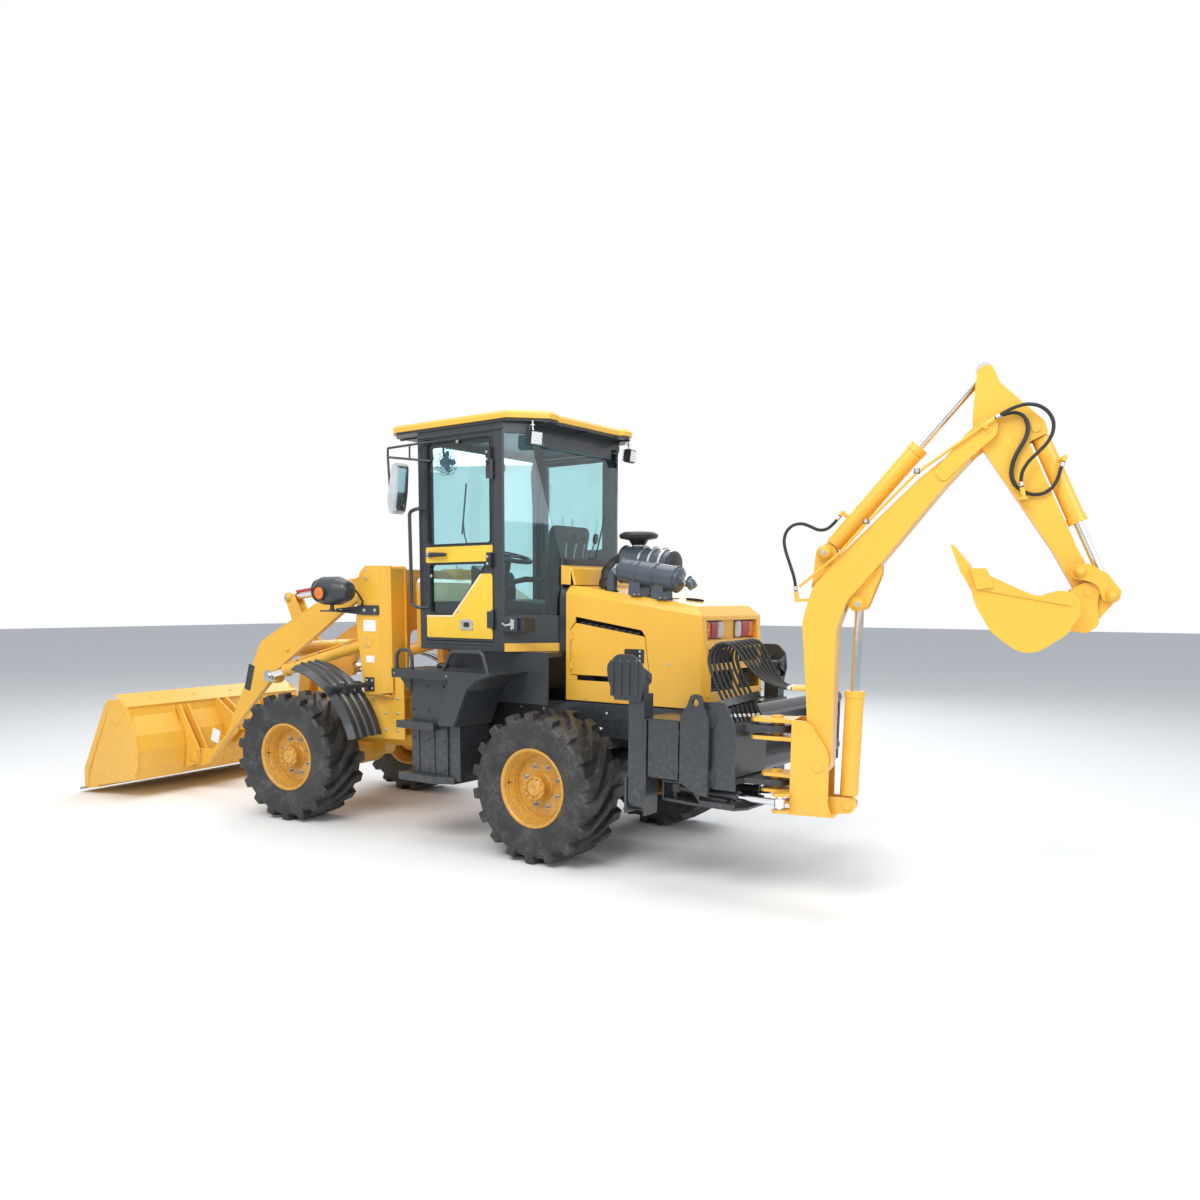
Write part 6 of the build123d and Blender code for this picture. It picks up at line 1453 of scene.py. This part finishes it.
def loader_hoses():
    """Pipes on the lift and tilt rams, and the red safety bar by the tilt ram's rod."""
    for name, y in (("left", -558), ("right", 558)):
        piece = Piece("lift_ram_pipes_" + name, "lift_ram_barrel", FRONT, "yellow_paint")
        start, end = Vector((-1985, y, 1478)), Vector((-3185, y, 1150))
        axis = (end - start).normalized()
        up = axis.cross(Vector((0, 1, 0))).normalized()
        if up.z < 0:
            up = -up
        for k, (a, b) in enumerate(((120, 1010), (150, 260))):
            shift = Vector((0, 14 - 28 * k, 0))
            path = [start + axis * a + up * 30 + shift, start + axis * a + up * 62 + shift,
                    start + axis * b + up * 62 + shift,
                    start + axis * b + up * 30 + shift]
            tube(piece, path, 8, YELLOW, 18, 10)
        for distance in (300, 640, 900):
            at = start + axis * distance
            turned(piece, [(47, -9), (51, -8), (51, 8), (47, 9)], at, axis, YELLOW, 32, False, True)
            block(piece, (at.x - 9, at.x + 9), (y - 20, y + 20),
                  (at.z + up.z * 58 - 8, at.z + up.z * 58 + 8), ZINC, 3)
        turned(piece, [(50, -3), (56, 0), (56, 26), (50, 30), (30, 31)], start + axis * 1012, axis,
               YELLOW, 32, False)
        turned(piece, [(29, 0), (34, 2), (34, 12), (28, 14)], start + axis * 1040, axis, RUBBER,
               28, True, True)
        piece.done()
    piece = Piece("tilt_ram_pipes", "tilt_ram_barrel", FRONT, "yellow_paint")
    start, end = Vector((-1990, 0, 2008)), Vector((-3440, 0, 1830))
    axis = (end - start).normalized()
    up = Vector((axis.z, 0, -axis.x)).normalized()
    if up.z < 0:
        up = -up
    for k, (a, b) in enumerate(((130, 1050), (170, 330))):
        shift = Vector((0, 18 - 36 * k, 0))
        tube(piece, [start + axis * a + up * 40 + shift, start + axis * a + up * 70 + shift,
                     start + axis * b + up * 70 + shift,
                     start + axis * b + up * 40 + shift], 9, YELLOW, 18, 10)
    for distance in (420, 780):
        at = start + axis * distance
        turned(piece, [(53, -10), (58, -9), (58, 9), (53, 10)], at, axis, YELLOW, 32, False, True)
    turned(piece, [(56, -3), (62, 0), (62, 28), (56, 32), (32, 33)], start + axis * 1068, axis,
           YELLOW, 32, False)
    piece.done()
    piece = Piece("safety_prop", "tilt_ram_rod", FRONT, "yellow_paint")
    rod_start, rod_end = start + axis * 1130, start + axis * 1395
    tube(piece, [rod_start + up * 46, rod_end + up * 46], 15, RED_PAINT, 0, 14)
    for at in (rod_start, rod_end):
        tube(piece, [at + up * 24, at + up * 50], 9, RED_PAINT, 0, 10)
        turned(piece, [(30, -8), (34, -7), (34, 7), (30, 8)], at, axis, RED_PAINT, 24, False, True)
    piece.done()


RED_PAINT = paint("red_enamel", (0.52, 0.035, 0.025), (0.35, 0.18, 0.12), (0.80, 0.25, 0.15), 0.35,
                  0.2)


def bucket_fittings():
    """Cutting edge, stiffeners, flanges and weld lines of the loader bucket."""
    piece = Piece("loader_bucket_fittings", "loader_bucket", FRONT, "yellow_paint")
    half = 1060
    # folded stiffener on each cheek
    plate(piece, [(-5140, 62), (-5082, 70), (-5060, 226), (-4724, 830), (-4686, 905), (-4715, 915),
                  (-4783, 842), (-5128, 236)],
          (-half - 8, -half + 2), YELLOW)
    plate(piece, rounded([(-4700, 905), (-4560, 907), (-4500, 812), (-4640, 640), (-4760, 760)],
                         (20, 30, 30, 60, 20)),
          (-half - 5, -half + 2), YELLOW)
    plate(piece, rounded([(-4560, 200), (-4420, 200), (-4358, 300), (-4354, 450), (-4376, 580),
                          (-4500, 600), (-4600, 480),
                          (-4640, 320)], (10, 30, 40, 40, 40, 80, 80, 60)), (-half - 5, -half + 2),
                          YELLOW)
    tube(piece, [(-4690, -half - 4, 900), (-5060, -half - 8, 226), (-5090, -half - 8, 72)], 4,
         YELLOW, 20, 8)
    # gussets behind the shell
    for y in (-1040, -560, -395, -60):
        plate(piece, rounded([(-4490, 812), (-4466, 820), (-4400, 640), (-4354, 460), (-4366, 300),
                              (-4400, 180), (-4424, 196),
                              (-4392, 300), (-4378, 450), (-4396, 590)], 10), (y - 6, y + 6),
                              YELLOW)
    for y in (-700, -230):
        plate(piece, rounded([(-4650, 944), (-4492, 836), (-4486, 800), (-4520, 806),
                              (-4660, 905)], 8), (y - 6, y + 6), YELLOW)
        turned(piece, [(26, -12), (26, 12)], (-4590, y, 886), (0, 1, 0), YELLOW, 20, False)
    plate(piece, [(-4500, 838), (-4484, 842), (-4470, 762), (-4484, 758)], (-1046, -470), YELLOW)
    plate(piece, [(-4436, 176), (-4408, 180), (-4374, 292), (-4390, 300)], (-1046, -520), YELLOW)
    for y in (-532, -418):
        turned(piece, [(52, 0), (52, 7), (36, 10)], (-4250, y, 345), (0, -1 if y < -475 else 1, 0),
               YELLOW, 28, True)
        bolts(piece, [(-4200, y, 395), (-4200, y, 345)], (0, -1 if y < -475 else 1, 0), 13, STEEL)
    piece.mirror()
    # the wear strip along the lip, with plough bolts
    plate(piece, [(-5226, 24), (-5100, 45), (-5100, 60), (-5213, 48)], (-half - 4, half + 4), STEEL)
    heads = [((-5075, y, 78), facing((-0.17, 0, 1))) for y in range(-990, 1000, 110)]

    def plough_bolt(draft):
        turned(draft, [(16, 0), (15, 3), (8, 5)], (0, 0, 0), (0, 0, 1), STEEL, 14, False)
    copies(piece, shape_object("plough_bolt", plough_bolt), heads, STEEL)
    tube(piece, [(-4476, -1046, 846), (-4476, 1046, 846)], 5, YELLOW, 0, 8)
    piece.done()


loader_hoses()
bucket_fittings()


def fender_and_lamps():
    """Head lamp lenses, reflectors and bolts on the front fenders."""
    piece = Piece("head_lamp_fittings", "front_frame", FRONT, "black_plastic")
    for y, z in ((-795, 1882),):
        turned(piece, [(88, 0), (92, 6), (92, 22), (84, 26), (80, 10)], (-2330, y, z), (-1, 0, 0),
               PLASTIC, 36, True)
        turned(piece, [(80, 8), (60, 16), (1, 20)], (-2330, y, z), (-1, 0, 0), CLEAR_LENS, 32, True)
        turned(piece, [(57, 0), (60, 4), (60, 10), (54, 12)], (-2237, y - 121, 1862), (0, -1, 0),
               PLASTIC, 32, True, True)
        turned(piece, [(55, 0), (50, 7), (30, 12), (1, 14)], (-2237, y - 120, 1862), (0, -1, 0),
               AMBER_LENS, 32, True)
        for ring in (18, 34, 48):
            turned(piece, [(ring - 2, 10 - ring * 0.12), (ring, 14 - ring * 0.12),
                           (ring + 2, 10 - ring * 0.12)],
                   (-2237, y - 120, 1862), (0, -1, 0), AMBER_LENS, 28, True)
        tube(piece, [(-2010, y, 1900), (-1975, y + 20, 1880), (-1990, y + 110, 1800),
                     (-2040, y + 150, 1760)], 8, RUBBER, 30, 8)
    bolts(piece, [(-2250, -740, 1728), (-2210, -700, 1728), (-2300, -740, 1728)], (0, 0, 1), 18,
          ZINC)
    for z in (1100, 1165):
        bolts(piece, [(-1950, -644, z), (-2005, -644, z)], (0, -1, 0), 16, ZINC)
    for x, y, z in ((-2040, -712, 1162), (-2060, -872, 1157)):
        bolts(piece, [(x - 15, y, z), (x + 15, y, z)], (0, 0, 1), 14, ZINC)
    turned(piece, [(28, 0), (28, 6), (12, 12)], (-2100, -1001, 1118), (0, -1, 0), PLASTIC, 20,
           False)
    piece.mirror()
    piece.done()


fender_and_lamps()


def front_axle_fittings():
    for name, body, place, x in (("front", "front_frame", FRONT, -2620), ("rear", "root", REAR, 0)):
        piece = Piece("axle_fittings_" + name, body, place, "yellow_paint")
        finish = RIM_YELLOW
        for k in range(16):
            a = 2 * pi * k / 16
            for side in (-1, 1):
                bolts(piece, [(x + 140 * cos(a), side * 112, 528 + 140 * sin(a))], (0, side, 0),
                      17, STEEL)
        for side in (-1, 1):
            turned(piece, [(86, -10), (104, -9), (104, 9), (86, 10)], (x, side * 300, 528),
                   (0, 1, 0), finish, 32, False, True)
            tube(piece, [(x - 60, side * 320, 610), (x - 90, side * 500, 640),
                         (x - 60, side * 600, 640)], 6, STEEL, 40, 8)
        piece.done()


front_axle_fittings()

# ---------------------------------------------------------------- the backhoe and its hoses
HOSE_R = 9
HOSE_COUNT = 7
HOSE_PITCH = 30
UNION_PITCH = 25
UNION_END = (93, 1307)
UNION_LENGTH = 46
INSIDE_UNION = 0.2
GUARDED_HOSES = (0, 1, 6)
GUARD_SHARE = (0.2, 0.62)
GUARD_STEP = 5
GUARD_RISE = (1.2, 3.4)
CORNER_SHARE = 0.45
# (radius, distance from the hose's end)
FERRULE = [(9.4, 4), (11.6, 6), (11.6, 15), (10.6, 17), (11.6, 19), (11.6, 27), (9.4, 29)]
# a point on the middle hose, and how far the others lie from it for each place in the row
HOE_HOSE_ROUTE = (
    ((1500, -738, 1104), (0.6, 0.8, 0.0)), ((1474, -738, 1174), (0.6, 0.8, 0.15)),
    ((1434, -738, 1246), (0.6, 0.8, 0.28)), ((1390, -738, 1322), (0.6, 0.8, 0.22)),
    ((1358, -738, 1390), (0.6, 0.8, 0.14)), ((1338, -738, 1450), (0.6, 0.8, 0.1)),
    ((1341, -738, 1492), (0.6, 0.8, 0.1)), ((1360, -738, 1529), (0.6, 0.8, 0.1)),
    ((1393, -738, 1556), (0.6, 0.8, 0.1)), ((1433, -738, 1567), (0.6, 0.8, 0.1)),
    ((1475, -738, 1562), (0.6, 0.8, 0.1)), ((1511, -738, 1540), (0.58, 0.8, 0.08)),
    ((1536, -738, 1506), (0.55, 0.8, 0.05)), ((1585, -738, 1435), (0.5, 0.8, 0.0)),
    ((1638, -740, 1375), (0.32, 0.8, 0.0)), ((1698, -742, 1331), (0.06, 0.8, 0.0)))
# reach, height and place across, in the hoe's plane
TIP_HOSES = {
    "dipper_ram_hose": (
        (95, 1863, -60), (84, 1935, -60), (56, 2014, -58), (28, 2088, -56), (14, 2150, -54),
        (26, 2204, -52),
        (64, 2240, -50), (116, 2246, -48), (164, 2226, -46), (206, 2205, -44), (250, 2208, -40),
        (288, 2240, -36),
        (321, 2283, -34)),
    "return_hose": (
        (1095, 2746, -118), (1130, 2769, -118), (1187, 2797, -118), (1245, 2809, -118),
        (1302, 2796, -118),
        (1346, 2762, -118), (1373, 2712, -118), (1372, 2656, -118), (1346, 2604, -118),
        (1306, 2562, -118),
        (1266, 2522, -118), (1239, 2472, -118), (1236, 2425, -118), (1243, 2392, -118)),
    "bucket_ram_hose": (
        (1102, 2754, -84), (1145, 2770, -84), (1188, 2776, -84), (1227, 2760, -84),
        (1252, 2722, -84),
        (1256, 2674, -84), (1239, 2624, -84), (1212, 2576, -84), (1192, 2524, -84),
        (1186, 2468, -84),
        (1203, 2416, -84), (1242, 2376, -84), (1293, 2356, -84), (1344, 2358, -80),
        (1386, 2386, -74),
        (1409, 2432, -68), (1418, 2478, -64), (1430, 2520, -62)),
}


def hose_line(points, steps=5):
    """The centreline through the points, each corner rounded as far as its two runs allow."""
    points = [Vector(point) for point in points]
    line = [points[0]]
    for before, here, after in zip(points, points[1:], points[2:]):
        reach = CORNER_SHARE * min((before - here).length, (after - here).length)
        start = here + (before - here).normalized() * reach
        end = here + (after - here).normalized() * reach
        for k in range(steps + 1):
            t = k / steps
            line.append((1 - t) ** 2 * start + 2 * t * (1 - t) * here + t * t * end)
    line.append(points[-1])
    return line


def spiral_guard(name, body, place, line):
    """A coiled plastic guard round the middle of a hose."""
    first, last = (int(len(line) * share) for share in GUARD_SHARE)
    piece = Piece(name, body, place, "black_plastic")
    run = line[first:last]
    path = [run[0]]
    for here, after in zip(run, run[1:]):
        count = max(1, round((after - here).length / GUARD_STEP))
        path += [here + (after - here) * (k + 1) / count for k in range(count)]
    tube(piece, path, [HOSE_R + GUARD_RISE[k % 2] for k in range(len(path))], PLASTIC, 0, 12)
    return piece.done()


def cord_hose(name, line, body, place, guarded):
    """One hose of the length its line has, with a crimped ferrule at each end."""
    piece = Piece(name, body, place, "hose_rubber")
    tube(piece, line, HOSE_R, RUBBER, 0, 16)
    hose = piece.done()
    fittings = Piece(name + "_ferrules", body, place, "chrome")
    for at, beyond in ((line[0], line[1]), (line[-1], line[-2])):
        turned(fittings, FERRULE,
               at, beyond - at, ZINC, 20, True, True)
    pieces = [fittings.done()]
    if guarded:
        pieces.append(spiral_guard(name + "_guard", body, place, line))
    return hose


def hoe_hoses():
    """The row of hoses that loops from the carriage over to the boom's foot."""
    pin = Vector((SWING_PIN[0], SWING_PIN[1])) / MM
    start = Vector((1500, -738, 1104)) * MM
    end = Vector((1698, -742, 1331)) * MM
    for index in range(HOSE_COUNT):
        beside = index - (HOSE_COUNT - 1) / 2
        points = [[p + beside * HOSE_PITCH * v for p, v in zip(at, spread)]
                  for at, spread in HOE_HOSE_ROUTE]
        for reach in (UNION_END[0] - UNION_LENGTH, UNION_END[0] - INSIDE_UNION):
            off = beside * UNION_PITCH
            points.append((pin.x + reach * cos(HOE_SWING) - off * sin(HOE_SWING),
                           pin.y + reach * sin(HOE_SWING) + off * cos(HOE_SWING), UNION_END[1]))
        cord_hose("hoe_hose_%d" % (index + 1), hose_line(points),
                              ("carriage", "swing_post", start, end), REAR, index in GUARDED_HOSES)
    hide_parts("hoe_hoses")


def boom_tip_hoses():
    first = None
    for name, route in TIP_HOSES.items():
        line = hose_line([(reach, across, height) for reach, height, across in route])
        body = "boom" if name == "dipper_ram_hose" else ("boom", "dipper", HOE @ (line[4] * MM),
                                                         HOE @ (line[-4] * MM))
        hose = cord_hose(name, line, body, HOE, name == "bucket_ram_hose")
        first = first or hose
    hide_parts("boom_tip_hoses")


def boom_fittings():
    """Steel tubes along the boom's left side with their clamps, and the keepers of its pins."""
    piece = Piece("boom_fittings", "boom", HOE, "yellow_paint")
    run = [(122, 1890), (337, 2073), (474, 2233), (722, 2489), (1049, 2719)]
    for across in (-101, -119):
        tube(piece, [(x, across, z) for x, z in run], 7, YELLOW, 60, 12)
    for x, z in ((474, 2242), (726, 2498)):
        block(piece, (x - 16, x + 16), (-130, -92), (z - 13, z + 13), BLACK, 3)
        bolts(piece, [(x, -130, z)], (0, -1, 0), 17, ZINC)
    for x, z in ((250, 2079), (445, 1794)):
        turned(piece, [(40, 0), (40, 5), (28, 8), (28, 11)], (x, -96, z), (0, -1, 0), YELLOW, 28,
               True)
        bolts(piece, [(x, -107, z)], (0, -1, 0), 20, ZINC)
    piece.done()


def rocker_fittings():
    piece = Piece("rocker_fittings", "rocker", HOE, "yellow_paint")
    for x, z in ((1538, 1960), (1693, 1838)):
        for side in (-1, 1):
            turned(piece, [(33, 0), (33, 5), (23, 8), (23, 10)], (x, side * 104, z), (0, side, 0),
                   YELLOW, 28, True)
    piece.done()


hoe_hoses()
boom_tip_hoses()
boom_fittings()
rocker_fittings()
